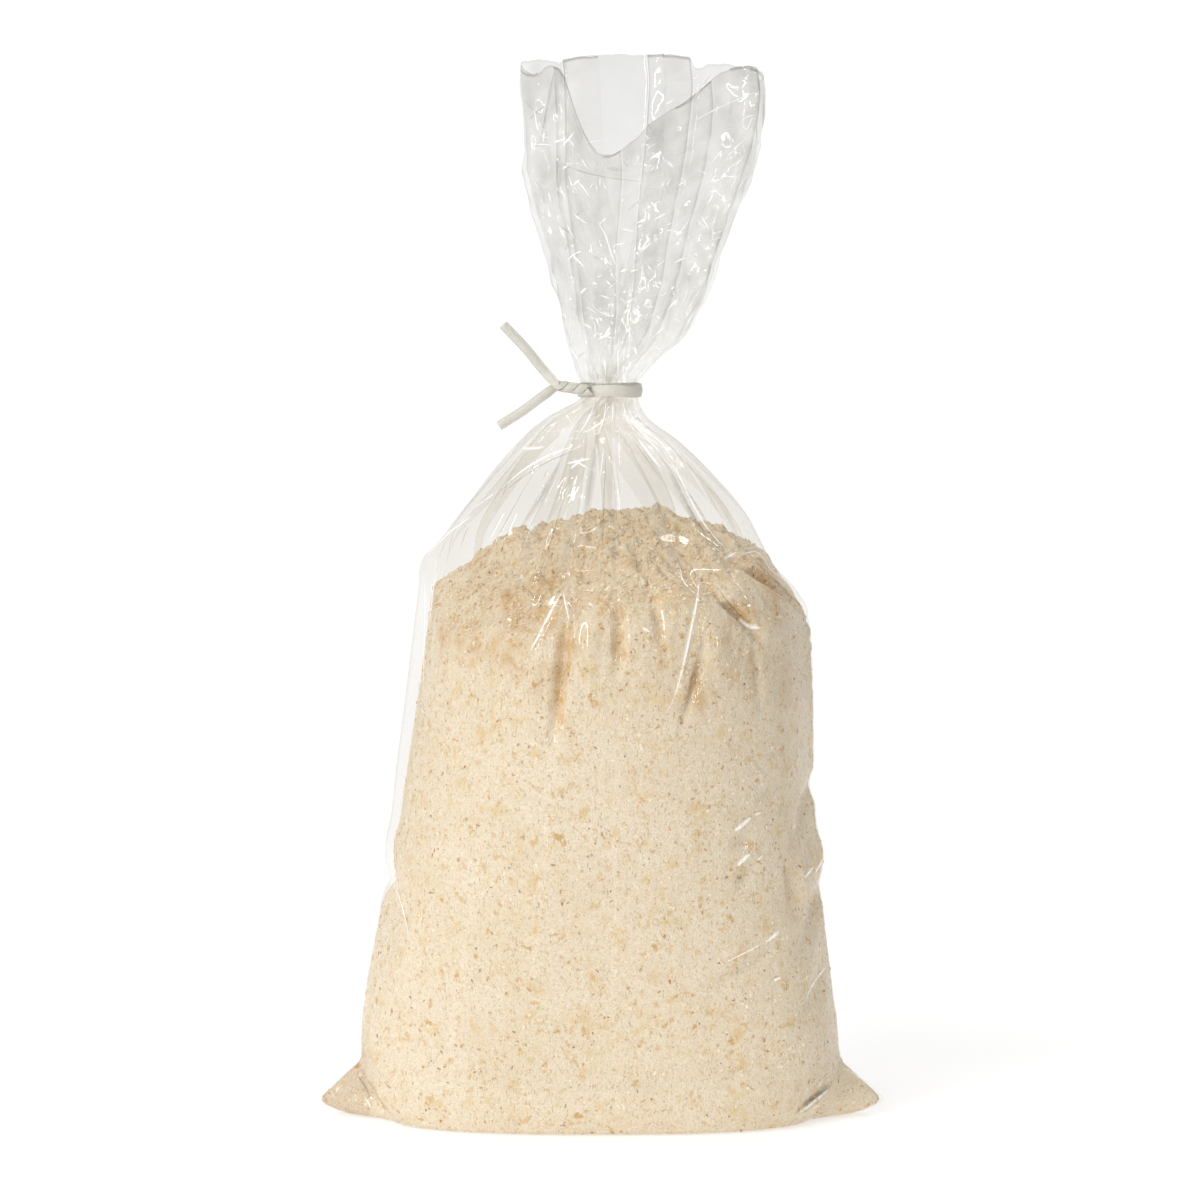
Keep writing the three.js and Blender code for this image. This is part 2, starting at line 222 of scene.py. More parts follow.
# Buckles in the filled film: angle, height, reach in degrees, reach in mm, mm of climb for each
# degree, depth in mm (below 0 is a bulge).
BUCKLES = [
    (180, 67.5, 34, 5, -0.35, 1.7),
    (184, 77, 30, 8, -0.2, -0.9),
    (352, 90, 26, 6, 0.5, 2.0),
    (356, 73, 30, 9, 0.4, -1.7),
    (346, 58, 22, 6, 0.5, 1.9),
    (340, 38, 20, 6, 0.4, 1.1),
    (20, 66, 24, 6, -0.5, 1.2),
    (160, 52, 22, 6, 0.4, 1.1),
    (192, 8, 15, 2.4, -0.65, 3.2),
    (337, 8.8, 15, 1.9, 0.3, 3.4),
    (310, 83, 6, 3, 0.4, 1.3),
    (310, 73, 6, 3, 0.6, 1.5),
    (309, 48, 18, 3.2, 0.39, 1.5),
    (331, 69, 4, 13, 0, 2.2),
    (339, 69, 5, 13, 0, -1.6),
    (322, 96, 8, 3, 0.5, 1.0),
    (203, 63, 8, 3, -0.8, 1.3),
]

# Furrows that the pleats' feet press into the crumbs, listed as the buckles are.
FURROWS = [
    (255, 130, 3.2, 24, 0, 3.2),
    (247, 128, 4, 16, 0, -0.8),
    (271, 141, 3.0, 14, 0, 2.6),
    (263, 138, 4, 14, 0, -0.9),
    (283, 145, 2.8, 12, 0, 1.6),
    (293, 127, 6, 6, 2.3, 2.4),
    (301, 136, 7, 14, 0, -1.2),
    (312, 145, 11, 3.0, -0.81, 4.6),
    (317, 130, 3, 14, 0, 1.3),
    (340, 151, 24, 3.0, -0.5, 4.6),
    (325, 140, 9, 7, 0, -1.0),
    (232, 132, 3.2, 14, 0, 1.0),
    (60, 138, 3.2, 18, 0, 2.0),
    (86, 132, 3.2, 20, 0, 2.2),
    (74, 130, 7, 16, 0, -0.9),
    (112, 138, 3, 16, 0, 1.8),
    (139, 138, 3.4, 14, 0, 1.5),
    (32, 142, 10, 3.2, 0.7, 2.6),
]


def outline(height, angle, ears=1.0, creases=1.0):
    """(x, y) of the film's outer outline at a height, before pleats and folds."""
    left, right = BODY_LEFT(height), BODY_RIGHT(height)
    crease_left, crease_right = CREASE_LEFT(height), CREASE_RIGHT(height)
    half_width = (left + right) / 2
    girth = FILM_GIRTH * (1 - GATHERED(height)) - 2 * (crease_left + crease_right)
    depth = half_depth(half_width, girth)
    turn = np.radians(angle)
    power = 2 / SQUARENESS(height)
    across = np.sign(np.cos(turn)) * np.abs(np.cos(turn)) ** power * half_width
    deep = np.sign(np.sin(turn)) * np.abs(np.sin(turn)) ** power * depth
    to_right = np.abs(angle_between(angle, 0))
    to_left = np.abs(angle_between(angle, 180))
    crease = np.where(to_right < to_left, crease_right, crease_left) * creases
    share = np.clip(1 - np.minimum(to_right, to_left) / EDGE_ANGLE, 0, None)
    out = crease * share**CREASE_HOLLOW + EAR(height) * ears * share**EAR_HOLLOW
    return (right - left) / 2 + across + np.sign(np.cos(turn)) * out, deep


def buckled_in(height, angle):
    """How far the buckles push the film in."""
    total = np.zeros(np.broadcast(height, angle).shape)
    for middle, level, wide, tall, slope, depth in BUCKLES + FURROWS:
        around = angle_between(angle, middle)
        above = height - level - slope * around
        within = smoothstep(1 - np.abs(around) / wide)
        total += depth * within * smoothstep(1 - np.abs(above) / tall)
    return total


# ---- Pleats ----

# Each pleat has its edge at an angle. foot is the height where it starts, and share its part of the
# spare film. lean is the side that it folds over to: +1 under its neighbour at a smaller angle, -1
# at a larger. hollow is how far the panel that follows it goes in. drift is how many degrees its
# edge has turned when it reaches the tie.
BODY_PLEATS = [
    # angle, foot, share, lean, hollow, drift
    (2, 150, 0.8, 1, 0.6, -4),
    (30, 142, 1.2, 1, 0.9, 8),
    (62, 140, 1.2, -1, 0.9, -6),
    (88, 136, 0.8, 1, 0.9, 6),
    (114, 142, 1.3, 1, 0.7, -5),
    (142, 142, 1.1, 1, 0.9, 8),
    (172, 152, 0.9, -1, 0.3, 5),
    (196, 154, 1.2, -1, 0.4, 12),
    (236, 142, 1.3, -1, 0.5, 10),
    (256, 132, 0.9, 1, 0.5, 7),
    (272, 140, 0.6, 1, 0.6, 8),
    (300, 140, 1.3, 1, 0.6, -8),
    (318, 142, 1.2, 1, 0.6, -6),
    (338, 146, 1.1, 1, 0.5, -8),
]
MOUTH_PLEATS = [
    (8, 0, 1.0, 1, 0.6, 0),
    (66, 0, 0.8, -1, 0.3, 0),
    (88, 0, 0.5, 1, 0.2, 0),
    (131, 0, 1.0, 1, 0.3, 0),
    (172, 0, 1.1, -1, 0.6, 0),
    (223, 0, 1.2, -1, 0.4, 0),
    (260, 0, 0.5, 1, 0.4, 0),
    (304, 0, 1.0, 1, 0.5, 0),
    (340, 0, 0.9, 1, 0.5, 0),
]
PLEAT_RUN = 26.0  # height over which a pleat takes its share of film above its foot
HOLLOW_DEPTH = profile([
    (120, 1.2), (150, 2.2), (166, 2.6), (180, 2.6), (192, 1.8), (199, 0.9), (203, 0.3),
    (207, 0.3), (212, 1.2), (220, 2.4), (235, 3.4), (299, 4.2),
])
HOLLOW_RUN = 36.0
# How much of the hollows the film keeps, since it pulls straight where it leaves the crumbs.
FILM_HOLLOW = profile([(140, 1.0), (162, 0.5), (205, 0.5), (215, 1)])
# Degrees that a pleat leans over from straight in: 90 would lie flat under its neighbour.
LEAN_ANGLE = profile([
    (120, 30), (150, 62), (175, 78), (192, 72), (203, 48), (207, 48), (215, 66), (235, 80),
    (299, 83),
])
FOLD_ROUND = profile([(146, 0), (160, 0.4), (299, 0.4)])  # how far a pleat's edge is rounded off
FOLD_REACH = 0.6
EDGE_CLOSENESS = 0.5  # how much closer together the columns are at a panel's edges
LEAST_OPENING = 0.5  # between the two layers of a closed pleat
LEAST_LAYER = 0.8
LAYER_EXCESS = 1.02  # a layer over half of the film that its pleat takes
MOST_OPENING = 0.45  # of the distance between two pleats
NO_SPARE = 1e-6
TANGENT_REACH = 0.3  # mm along the outline to each side, for its direction


# ---- Creases pressed into the film ----

# Single creases on the front: x and height of both ends, reach to each side, and how far out.
CREASE_LINES = [
    (-11.2, 148.5, -20.2, 131.0, 1.3, 0.5),
    (-11.2, 148.5, -8.4, 139.0, 1.1, 0.4),
    (28.0, 153.5, 25.2, 132.0, 1.2, 0.5),
    (25.2, 132.0, 19.0, 115.0, 1.2, 0.5),
    (38.6, 142.5, 45.4, 138.0, 1.0, 0.4),
    (33.0, 159.0, 38.4, 156.5, 1.0, 0.4),
    (39.0, 77.5, 46.2, 77.0, 1.3, 0.6),
    (47.6, 53.0, 39.2, 46.5, 1.3, 0.6),
    (41.0, 72.0, 44.0, 70.5, 1.0, 0.4),
    (-9.8, 191.0, -36.4, 171.5, 1.0, 0.5),
    (-15.4, 187.5, -36.4, 152.0, 1.0, -0.5),
    (-7.6, 184.5, -10.9, 173.2, 1.0, 0.5),
    (-10.9, 173.2, -18.8, 148.4, 1.1, 0.5),
    (7.6, 198.0, 16.2, 185.6, 1.1, 0.6),
    (16.2, 185.6, 25.2, 168.7, 1.1, 0.6),
    (25.2, 168.7, 42.0, 154.6, 1.1, 0.5),
    (-12.0, 269.5, 1.7, 266.0, 1.2, -0.7),
    (1.7, 266.0, 12.6, 264.6, 1.2, -0.6),
    (-20.0, 273.0, -13.7, 274.4, 1.0, 0.6),
    (-9.0, 262.0, 0.0, 243.0, 1.3, 0.6),
    (21.0, 265.0, 8.0, 240.0, 1.4, 0.6),
    (33.0, 262.0, 22.0, 238.0, 1.4, 0.7),
    (40.0, 272.0, 30.0, 250.0, 1.3, 0.6),
    (-12.0, 255.0, -4.0, 232.0, 1.3, -0.6),
    (28.0, 240.0, 18.0, 222.0, 1.2, 0.5),
]


CLUSTER_WAVES = 14
MOST_TURNS = 5  # of those waves round the bag
CLUSTERED_REACH = 12  # creases that act less far come in clusters
OVERLAP = 1.3  # how many times over the creases cover the film
CREASE_AREA = 1.6  # of one crease, over its reach squared


def tents(around, along, count, reach, seed):
    """Crumpled film: count straight tent-shaped creases, each about 1 high, at random places.

    around and along are places on the flat film, in mm. reach is how far a crease acts.
    """
    rng = np.random.default_rng(seed)
    total = np.zeros(np.broadcast(around, along).shape)
    low, high = along.min(), along.max()
    for _ in range(count):
        centre = rng.uniform(0, FILM_GIRTH), rng.uniform(low, high)
        slant = rng.uniform(0, np.pi)
        height = rng.choice((-1, 1)) * rng.uniform(0.4, 1.2)
        size = reach * rng.uniform(0.5, 1.4)
        u = (around - centre[0] + FILM_GIRTH / 2) % FILM_GIRTH - FILM_GIRTH / 2
        v = along - centre[1]
        across = np.cos(slant) * u + np.sin(slant) * v
        length = -np.sin(slant) * u + np.cos(slant) * v
        ridge = np.clip(1 - np.abs(across) / (0.5 * size), 0, 1)
        total += height * size / reach * ridge * smoothstep(1.6 - np.abs(length) / size)
    return total


def crumple(around, along, scales, seed):
    """Creases of several sizes, the small ones in clusters: scales are (reach, height) in mm."""
    area = FILM_GIRTH * (along.max() - along.min())
    rng = np.random.default_rng(seed)
    total = np.zeros(np.broadcast(around, along).shape)
    for number, (reach, height) in enumerate(scales):
        waves = np.zeros_like(total)
        for _ in range(CLUSTER_WAVES):
            turns = rng.integers(-MOST_TURNS, MOST_TURNS + 1)
            climb = rng.uniform(-0.35, 0.35)
            phase = rng.uniform(0, 2 * np.pi)
            waves += np.sin(around * turns * 2 * np.pi / FILM_GIRTH + along * climb + phase)
        clustered = reach < CLUSTERED_REACH
        cluster = smoothstep(0.5 + waves * 2 / CLUSTER_WAVES) if clustered else 1.0
        count = int(OVERLAP * area / (CREASE_AREA * reach**2))
        total += height * cluster * tents(around, along, count, reach, seed + 1 + number)
    return total


def crease_lines(x, height, front):
    """How far the single creases push the film out, on its front."""
    total = np.zeros(x.shape)
    for x1, z1, x2, z2, reach, out in CREASE_LINES:
        run = np.array([x2 - x1, z2 - z1])
        length = np.hypot(*run)
        along = ((x - x1) * run[0] + (height - z1) * run[1]) / length
        across = ((x - x1) * run[1] - (height - z1) * run[0]) / length
        ends = smoothstep((along + 1) / 3) * smoothstep((length + 1 - along) / 3)
        total += out * np.clip(1 - np.abs(across) / reach, 0, 1) * ends
    return total * front


# ---- Meshes ----


def add_object(name, data):
    thing = bpy.data.objects.new(name, data)
    bpy.context.scene.collection.objects.link(thing)
    return thing


def mesh_piece(name, points, faces, material, smooth=True):
    """A piece from points in mm and, for each face, the numbers of its corners."""
    faces = faces.tolist() if isinstance(faces, np.ndarray) else faces
    mesh = bpy.data.meshes.new(name)
    mesh.from_pydata((points * MM).tolist(), [], faces)
    mesh.validate()
    if smooth:
        mesh.shade_smooth()
    else:
        mesh.shade_flat()
    mesh.materials.append(material)
    return add_object(name, mesh)


def place(piece, node):
    """The piece rides on the frame and stands for a CAD node, which is hidden."""
    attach(piece, "root")
    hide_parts(node)
    return piece


def grid_faces(rows, columns, wrap=True):
    """Quads over a grid of points stored row by row, whose columns go round."""
    across = columns if wrap else columns - 1
    i, j = np.meshgrid(np.arange(rows - 1), np.arange(across), indexing="ij")
    k = (j + 1) % columns
    corners = (i * columns + j, i * columns + k, (i + 1) * columns + k, (i + 1) * columns + j)
    return np.stack([corner.ravel() for corner in corners], axis=1)


def capped_faces(rows, columns, offset=0):
    """Faces of a closed tube of points from number offset on: its quads, then one at each end."""
    first = list(range(offset, offset + columns))
    last = [(rows - 1) * columns + corner for corner in first]
    return (grid_faces(rows, columns) + offset).tolist() + [first[::-1], last]


# ---- The film ----

# The veil is how milky the film looks: by height on its open panels and in its folds.
VEIL_PANEL = profile([
    (148, 0.14), (164, 0.19), (180, 0.26), (192, 0.14), (199, 0.05), (212, 0.12), (228, 0.31),
    (270, 0.35), (299, 0.43),
])
VEIL_IN_FOLDS = profile([
    (150, 0.05), (165, 0.06), (180, 0.06), (192, 0.02), (215, 0), (235, 0.02), (299, 0.03),
])
VEIL_ON_CRUMBS = 0.05
VEIL_RIM = 0.6
RIM_LINE = 0.3  # mm of film along the rim
BACK_VEIL = 0.14  # more of it on the mouth's back, which shows through the low front
BACK_ANGLE = 88.0
BACK_SPREAD = 50.0
BACK_LEVEL = 258.0
BACK_RUN = 14.0
BACK_EVENNESS = 0.85  # how far that part is without clouds
VEIL_CLOUDS = [(0.24, 14, 41), (0.2, 6, 42)]  # share, size in mm, seed
CREASE_VEIL_ANGLE = 4.0  # degrees to each side of the creased edges of the film
CREASE_VEIL_FROM = 25.0
CREASE_VEIL_RUN = 20.0
PARTING_RUN = 8.0  # height over which the film leaves the crumbs
SHARP_FROM = 135.0  # height from which the pleats' edges are sharp
LEAST_CRINKLE = 0.1

OUTLINE_STEPS = 1440
BASE_SHARES = (0.02, 0.3, 0.6, 0.85, 0.97)  # rings of points under the bag, to its middle

BODY_LEVELS = np.concatenate([
    np.linspace(0, 24, 19)[:-1],
    np.linspace(24, 118, 36)[:-1],
    np.linspace(118, 150, 45)[:-1],
    np.linspace(150, 205, 70),
])
MOUTH_LEVELS = np.concatenate([np.linspace(205, TOP_HEIGHT - RIM_LINE, 148), [TOP_HEIGHT]])

CRINKLE = profile([
    (0, 0.12), (20, 0.1), (110, 0.1), (138, 0.1), (155, 0.2), (172, 0.35), (192, 0.7),
    (203, 0.3), (207, 0.3), (214, 0.6), (230, 1.0), (260, 1.0), (299, 0.6),
])
GATHER_RIPPLE = profile([(178, 0), (190, 0.2), (199, 0.3), (212, 0.3), (222, 0.2), (240, 0)])
RIPPLE_PITCH = 2.2
BODY_CRUMPLE = [(26, 0.5), (12, 0.3), (6, 0.13)]
MOUTH_CRUMPLE = [(30, 0.5), (14, 0.6), (7, 0.5), (4, 0.34)]


class Pleats:
    """One stretch of film's pleats, and how finely its panels and folded layers are divided."""

    def __init__(self, rows, panel_steps, layer_steps):
        columns = np.array(rows, float).T
        self.angle, self.foot, self.share, self.lean, self.hollow, self.drift = columns
        self.panel_steps = panel_steps
        self.layer_steps = layer_steps
        self.stride = panel_steps + 2 * layer_steps

    def angles(self, height):
        """Where the pleats' edges are at a height."""
        risen = np.clip((height - self.foot) / (TIE_HEIGHT - self.foot), 0, 1)
        return self.angle + self.drift * risen

    def shares(self, height):
        """Share of the spare film that each pleat takes at a height."""
        grown = smoothstep((height - self.foot) / PLEAT_RUN)
        shares = self.share * grown
        return shares / max(shares.sum(), NO_SPARE) * min(grown.max(), 1)


BODY = Pleats(BODY_PLEATS, 30, 5)
MOUTH = Pleats(MOUTH_PLEATS, 34, 8)


def film_row(height, pleats):
    """One row of the film: outline places, depth in from them, and places on the flat film."""
    angles = np.linspace(0, 360, OUTLINE_STEPS + 1)
    x, y = outline(np.full_like(angles, height), angles)
    reach = np.concatenate([[0], np.cumsum(np.hypot(np.diff(x), np.diff(y)))])
    perimeter = reach[-1]
    spare = max(FILM_GIRTH - perimeter, 0) * pleats.shares(height)
    layer = np.maximum(spare / 2 * LAYER_EXCESS, LEAST_LAYER)
    opening = np.clip(2 * layer - spare, LEAST_OPENING, 2 * LEAST_LAYER)
    edges = np.interp(pleats.angles(height), angles, reach)
    room = np.diff(np.append(edges, perimeter + edges[0]))
    opening = np.minimum(opening, MOST_OPENING * np.minimum(room, np.roll(room, 1)))
    tip = np.sqrt(np.clip(layer**2 - (opening / 2) ** 2, 0, None))
    tip = np.where(spare > NO_SPARE, tip, 0)
    slant = np.radians(LEAN_ANGLE(height)) * pleats.lean
    hollow = HOLLOW_DEPTH(height) * FILM_HOLLOW(height) * pleats.hollow
    hollow *= smoothstep((height - pleats.foot) / HOLLOW_RUN)

    fold_round = FOLD_ROUND(height)
    places, depths, flat = [], [], []
    film_used = 0.0
    for k in range(len(edges)):
        n = (k + 1) % len(edges)
        next_edge = edges[n] if n else perimeter + edges[0]
        t = np.arange(pleats.panel_steps) / pleats.panel_steps
        t = t - EDGE_CLOSENESS * np.sin(2 * np.pi * t) / (2 * np.pi)
        start, end = edges[k] + opening[k] / 2, next_edge - opening[n] / 2
        places.append(start + (end - start) * t)
        to_edge = (end - start) * np.minimum(t, 1 - t)
        rounded = fold_round * np.exp(-to_edge / FOLD_REACH)
        depths.append(hollow[k] * np.sin(np.pi * t) + rounded)
        flat.append(film_used + (end - start) * t)
        film_used += end - start
        t = np.arange(pleats.layer_steps) / pleats.layer_steps
        tip_place = next_edge - tip[n] * np.sin(slant[n])
        tip_depth = tip[n] * np.cos(slant[n])
        for a, b, da, db in (
            (end, tip_place, 0, tip_depth),
            (tip_place, next_edge + opening[n] / 2, tip_depth, 0),
        ):
            places.append(a + (b - a) * t)
            depths.append(da + (db - da) * t + fold_round)
            flat.append(film_used + layer[n] * t)
            film_used += layer[n]

    places = np.concatenate(places) % perimeter
    angle = np.interp(places, reach, angles)
    on_x, on_y = np.interp(places, reach, x), np.interp(places, reach, y)
    ahead = (places + TANGENT_REACH) % perimeter
    behind = (places - TANGENT_REACH) % perimeter
    dx = np.interp(ahead, reach, x) - np.interp(behind, reach, x)
    dy = np.interp(ahead, reach, y) - np.interp(behind, reach, y)
    size = np.hypot(dx, dy)
    return {
        "angle": angle,
        "x": on_x,
        "y": on_y,
        "in_x": -dy / size,
        "in_y": dx / size,
        "depth": np.concatenate(depths),
        "flat": np.concatenate(flat) / film_used * FILM_GIRTH,
    }


def film_points(levels, pleats, scales, seed):
    """The film's points over some levels, row by row, and the angle of each."""
    rows = [film_row(height, pleats) for height in levels]
    field = {key: np.array([row[key] for row in rows]) for key in rows[0]}
    height = levels[:, None] + np.zeros_like(field["x"])
    flat, angle = field["flat"], field["angle"]

    depth = field["depth"] + buckled_in(height, angle)
    depth += CRINKLE(height) * crumple(flat, height, scales, seed)
    depth += GATHER_RIPPLE(height) * np.sin(flat * 2 * np.pi / RIPPLE_PITCH + 2 * np.sin(flat * 0.4))

    share = np.clip((height - TIE_HEIGHT) / (TOP_HEIGHT - TIE_HEIGHT), 0, None)
    ragged = sum(size * np.sin(flat * waves + phase) for size, waves, phase in RAGGED)
    rim = np.minimum(RIM(angle % 360) + ragged, TOP_HEIGHT)
    z = np.where(share > 0, TIE_HEIGHT + (rim - TIE_HEIGHT) * share, height)
    facing_front = smoothstep((field["in_y"] - 0.2) / 0.4)
    depth -= crease_lines(field["x"], z, facing_front)
    frontness = smoothstep(1 - np.abs(angle_between(angle, LIP_ANGLE)) / LIP_SPREAD)
    x = field["x"] + field["in_x"] * depth
    y = field["y"] + field["in_y"] * depth - LIP_LEAN * frontness * share**3
    return np.stack([x, y, z], axis=-1), angle


def set_attribute(piece, name, values):
    attribute = piece.data.attributes.new(name, "FLOAT", "POINT")
    attribute.data.foreach_set("value", np.asarray(values, np.float32).ravel())


def in_folds(columns, pleats):
    """Which columns lie in the folded-in layers."""
    return (np.arange(columns) % pleats.stride) > pleats.panel_steps


def with_base(points, shares):
    """Rows of points with flat rings put before them, which are shares of the first row."""
    return np.concatenate([np.array([points[0] * (share, share, 1) for share in shares]), points])


def make_body_film(material):
    points, angle = film_points(BODY_LEVELS, BODY, BODY_CRUMPLE, 11)
    points = with_base(points, BASE_SHARES)
    angle = np.concatenate([angle[:1]] * len(BASE_SHARES) + [angle])
    rows, columns = points.shape[:2]
    piece = mesh_piece("film_bag", points.reshape(-1, 3), grid_faces(rows, columns), material)
    first_sharp = len(BASE_SHARES) + int(np.sum(BODY_LEVELS < SHARP_FROM))
    mark_folds(piece, columns, BODY, first_sharp)
    height = points[..., 2]
    off_crumbs = smoothstep((height - CONTACT(angle) + PARTING_RUN / 2) / PARTING_RUN)
    to_edge = np.minimum(np.abs(angle_between(angle, 0)), np.abs(angle_between(angle, 180)))
    in_crease = smoothstep(1 - to_edge / CREASE_VEIL_ANGLE)
    in_crease *= smoothstep((height - CREASE_VEIL_FROM) / CREASE_VEIL_RUN)
    veil = np.maximum(np.maximum(off_crumbs, in_crease) * VEIL_PANEL(height), VEIL_ON_CRUMBS)
    veil = np.where(in_folds(columns, BODY)[None, :], VEIL_IN_FOLDS(height) * off_crumbs, veil)
    set_attribute(piece, "veil", veil)
    set_attribute(piece, "crinkle", np.clip(CRINKLE(height), LEAST_CRINKLE, 1))
    return place(piece, "bag")


def make_mouth_film(material):
    points, angle = film_points(MOUTH_LEVELS, MOUTH, MOUTH_CRUMPLE, 31)
    rows, columns = points.shape[:2]
    piece = mesh_piece("film_mouth", points.reshape(-1, 3), grid_faces(rows, columns), material)
    mark_folds(piece, columns, MOUTH, 0)
    levels = MOUTH_LEVELS[:, None]
    folded = in_folds(columns, MOUTH)
    at_back = smoothstep(1.4 - np.abs(angle_between(angle, BACK_ANGLE)) / BACK_SPREAD)
    veil = np.where(folded, VEIL_IN_FOLDS(levels), VEIL_PANEL(levels))
    veil += BACK_VEIL * at_back * smoothstep((levels - BACK_LEVEL) / BACK_RUN) * ~folded
    cloudy = noise_layers(points, VEIL_CLOUDS)
    veil *= np.clip(1 + cloudy * (1 - BACK_EVENNESS * at_back), 0.3, 1.7)
    veil[-2:] = VEIL_RIM
    set_attribute(piece, "veil", veil)
    set_attribute(piece, "crinkle", np.ones((rows, columns)))
    return place(piece, "bag")


def mark_folds(piece, columns, pleats, first_row):
    """Marks the edges along the pleats' folds as sharp."""
    within = (0, pleats.panel_steps, pleats.panel_steps + pleats.layer_steps)
    mesh = piece.data
    ends = np.zeros(len(mesh.edges) * 2, np.int64)
    mesh.edges.foreach_get("vertices", ends)
    a, b = ends.reshape(-1, 2).T
    same_column = (a % columns) == (b % columns)
    folded = np.isin((a % columns) % pleats.stride, within)
    high = np.minimum(a, b) // columns >= first_row
    sharp = mesh.attributes.new("sharp_edge", "BOOLEAN", "EDGE")
    sharp.data.foreach_set("value", same_column & folded & high)


# ---- Pinched creases with painted highlights, and fold lines partly of painted shade ----

# Painted highlights, where the photograph shows creases that catch the light: white strips that glow
# a little. Half-width in mm, then their points in pixels of the photograph.
SHOULDER_GLINTS = [
    (0.62, (500, 490), (524, 470), (548, 456), (575, 446)),
    (0.38, (470, 511), (500, 490)),
    (0.62, (520, 448), (535, 449), (547, 446)),
    (0.5, (565, 464), (580, 461), (593, 458)),
    (0.5, (569, 470), (578, 463), (585, 456)),
    (0.38, (572, 458), (579, 463), (590, 470)),
    (0.69, (636, 436), (650, 455), (664, 472)),
    (0.44, (658, 446), (674, 467), (690, 499), (702, 521), (715, 538), (733, 556)),
    (0.31, (652, 420), (672, 445), (700, 486), (716, 516)),
    (0.62, (722, 559), (730, 556), (738, 551)),
    (0.38, (738, 556), (757, 552), (770, 570), (792, 584)),
    (0.5, (425, 558), (452, 531), (474, 515)),
    (0.38, (606, 400), (604, 418), (598, 436)),
    (0.31, (613, 400), (612, 424)),
    (0.38, (622, 400), (626, 416), (632, 428)),
    (0.31, (596, 402), (588, 420), (578, 436)),
    (0.38, (585, 402), (572, 416)),
    (0.31, (632, 402), (640, 412), (652, 424)),
    (0.25, (618, 430), (620, 470)),
    (0.25, (604, 446), (600, 480)),
]
CRUMB_GLINTS = [
    (0.6, (528, 656), (543, 628), (554, 606), (563, 591)),
    (0.4, (563, 591), (566, 606), (570, 622)),
    (0.55, (700, 573), (697, 600), (692, 624), (684, 662), (676, 692), (668, 711)),
    (1.15, (738, 616), (746, 625), (762, 628)),
    (0.34, (587, 602), (595, 608)),
    (0.61, (641, 627), (652, 633)),
    (0.47, (660, 635), (668, 638)),
    (0.41, (792, 584), (802, 600), (808, 612)),
    (0.3, (424, 566), (425, 608), (423, 716)),
    (0.81, (733, 832), (742, 825), (752, 816)),
    (0.34, (752, 816), (764, 811)),
    (0.81, (736, 868), (743, 859), (752, 853)),
    (0.41, (756, 862), (764, 854)),
    (0.94, (766, 942), (773, 936), (780, 930)),
    (0.27, (724, 963), (746, 952), (766, 941)),
    (0.54, (771, 981), (782, 977)),
    (0.54, (803, 880), (809, 872), (815, 865)),
    (0.54, (822, 837), (824, 855), (814, 874)),
    (0.41, (803, 1006), (813, 983), (829, 963)),
    (0.68, (797, 1114), (814, 1102), (830, 1087)),
    (0.34, (840, 1065), (873, 1089), (884, 1104)),
    (0.4, (364, 1096), (369, 1102), (372, 1110)),
    (0.34, (393, 880), (402, 905), (410, 938)),
]
MOUTH_GLINTS = [
    (0.4, (534, 106), (538, 132)),
    (0.35, (532, 146), (540, 144), (552, 145)),
    (0.45, (562, 146), (570, 138), (576, 130)),
    (0.4, (554, 112), (560, 120)),
    (0.3, (576, 180), (584, 188), (592, 200)),
    (0.3, (596, 218), (606, 236), (612, 256), (620, 272)),
    (0.4, (572, 212), (580, 219), (588, 224)),
    (0.3, (598, 226), (608, 216)),
    (0.4, (558, 224), (566, 240)),
    (0.5, (570, 252), (586, 268)),
    (0.35, (566, 262), (574, 254), (584, 250)),
    (0.55, (652, 220), (668, 212)),
    (0.35, (664, 232), (676, 228)),
    (0.3, (676, 238), (688, 221), (692, 211)),
    (0.5, (700, 214), (706, 224), (710, 232)),
    (0.3, (696, 224), (712, 214)),
    (0.7, (708, 192), (720, 190)),
    (0.4, (676, 187), (686, 180)),
    (0.3, (660, 152), (666, 164)),
    (0.35, (688, 124), (714, 110), (740, 98), (764, 89)),
    (0.3, (692, 100), (702, 88), (712, 76)),
    (0.3, (724, 160), (736, 147), (748, 136)),
    (0.3, (708, 168), (716, 157), (724, 148)),
    (0.25, (736, 192), (748, 172)),
    (0.5, (666, 312), (673, 303), (681, 297)),
    (0.35, (672, 320), (680, 316)),
    (0.3, (708, 241), (724, 236)),
    (0.55, (596, 340), (604, 337), (612, 332)),
    (0.35, (588, 316), (596, 320)),
    (0.25, (630, 316), (629, 348), (628, 378)),
    (0.3, (560, 308), (568, 320)),
    (0.3, (672, 264), (688, 256)),
    (0.3, (643, 262), (640, 290)),
    (0.3, (652, 340), (660, 330), (672, 324)),
    (0.35, (640, 374), (648, 362), (657, 354)),
    (0.3, (590, 360), (592, 376)),
    (0.25, (604, 356), (606, 378)),
    (0.25, (618, 344), (618, 378)),
    (0.3, (548, 190), (552, 204)),
    (0.3, (740, 120), (748, 116), (760, 114)),
    (0.25, (600, 90), (606, 96)),
    (0.3, (664, 106), (676, 98)),
]
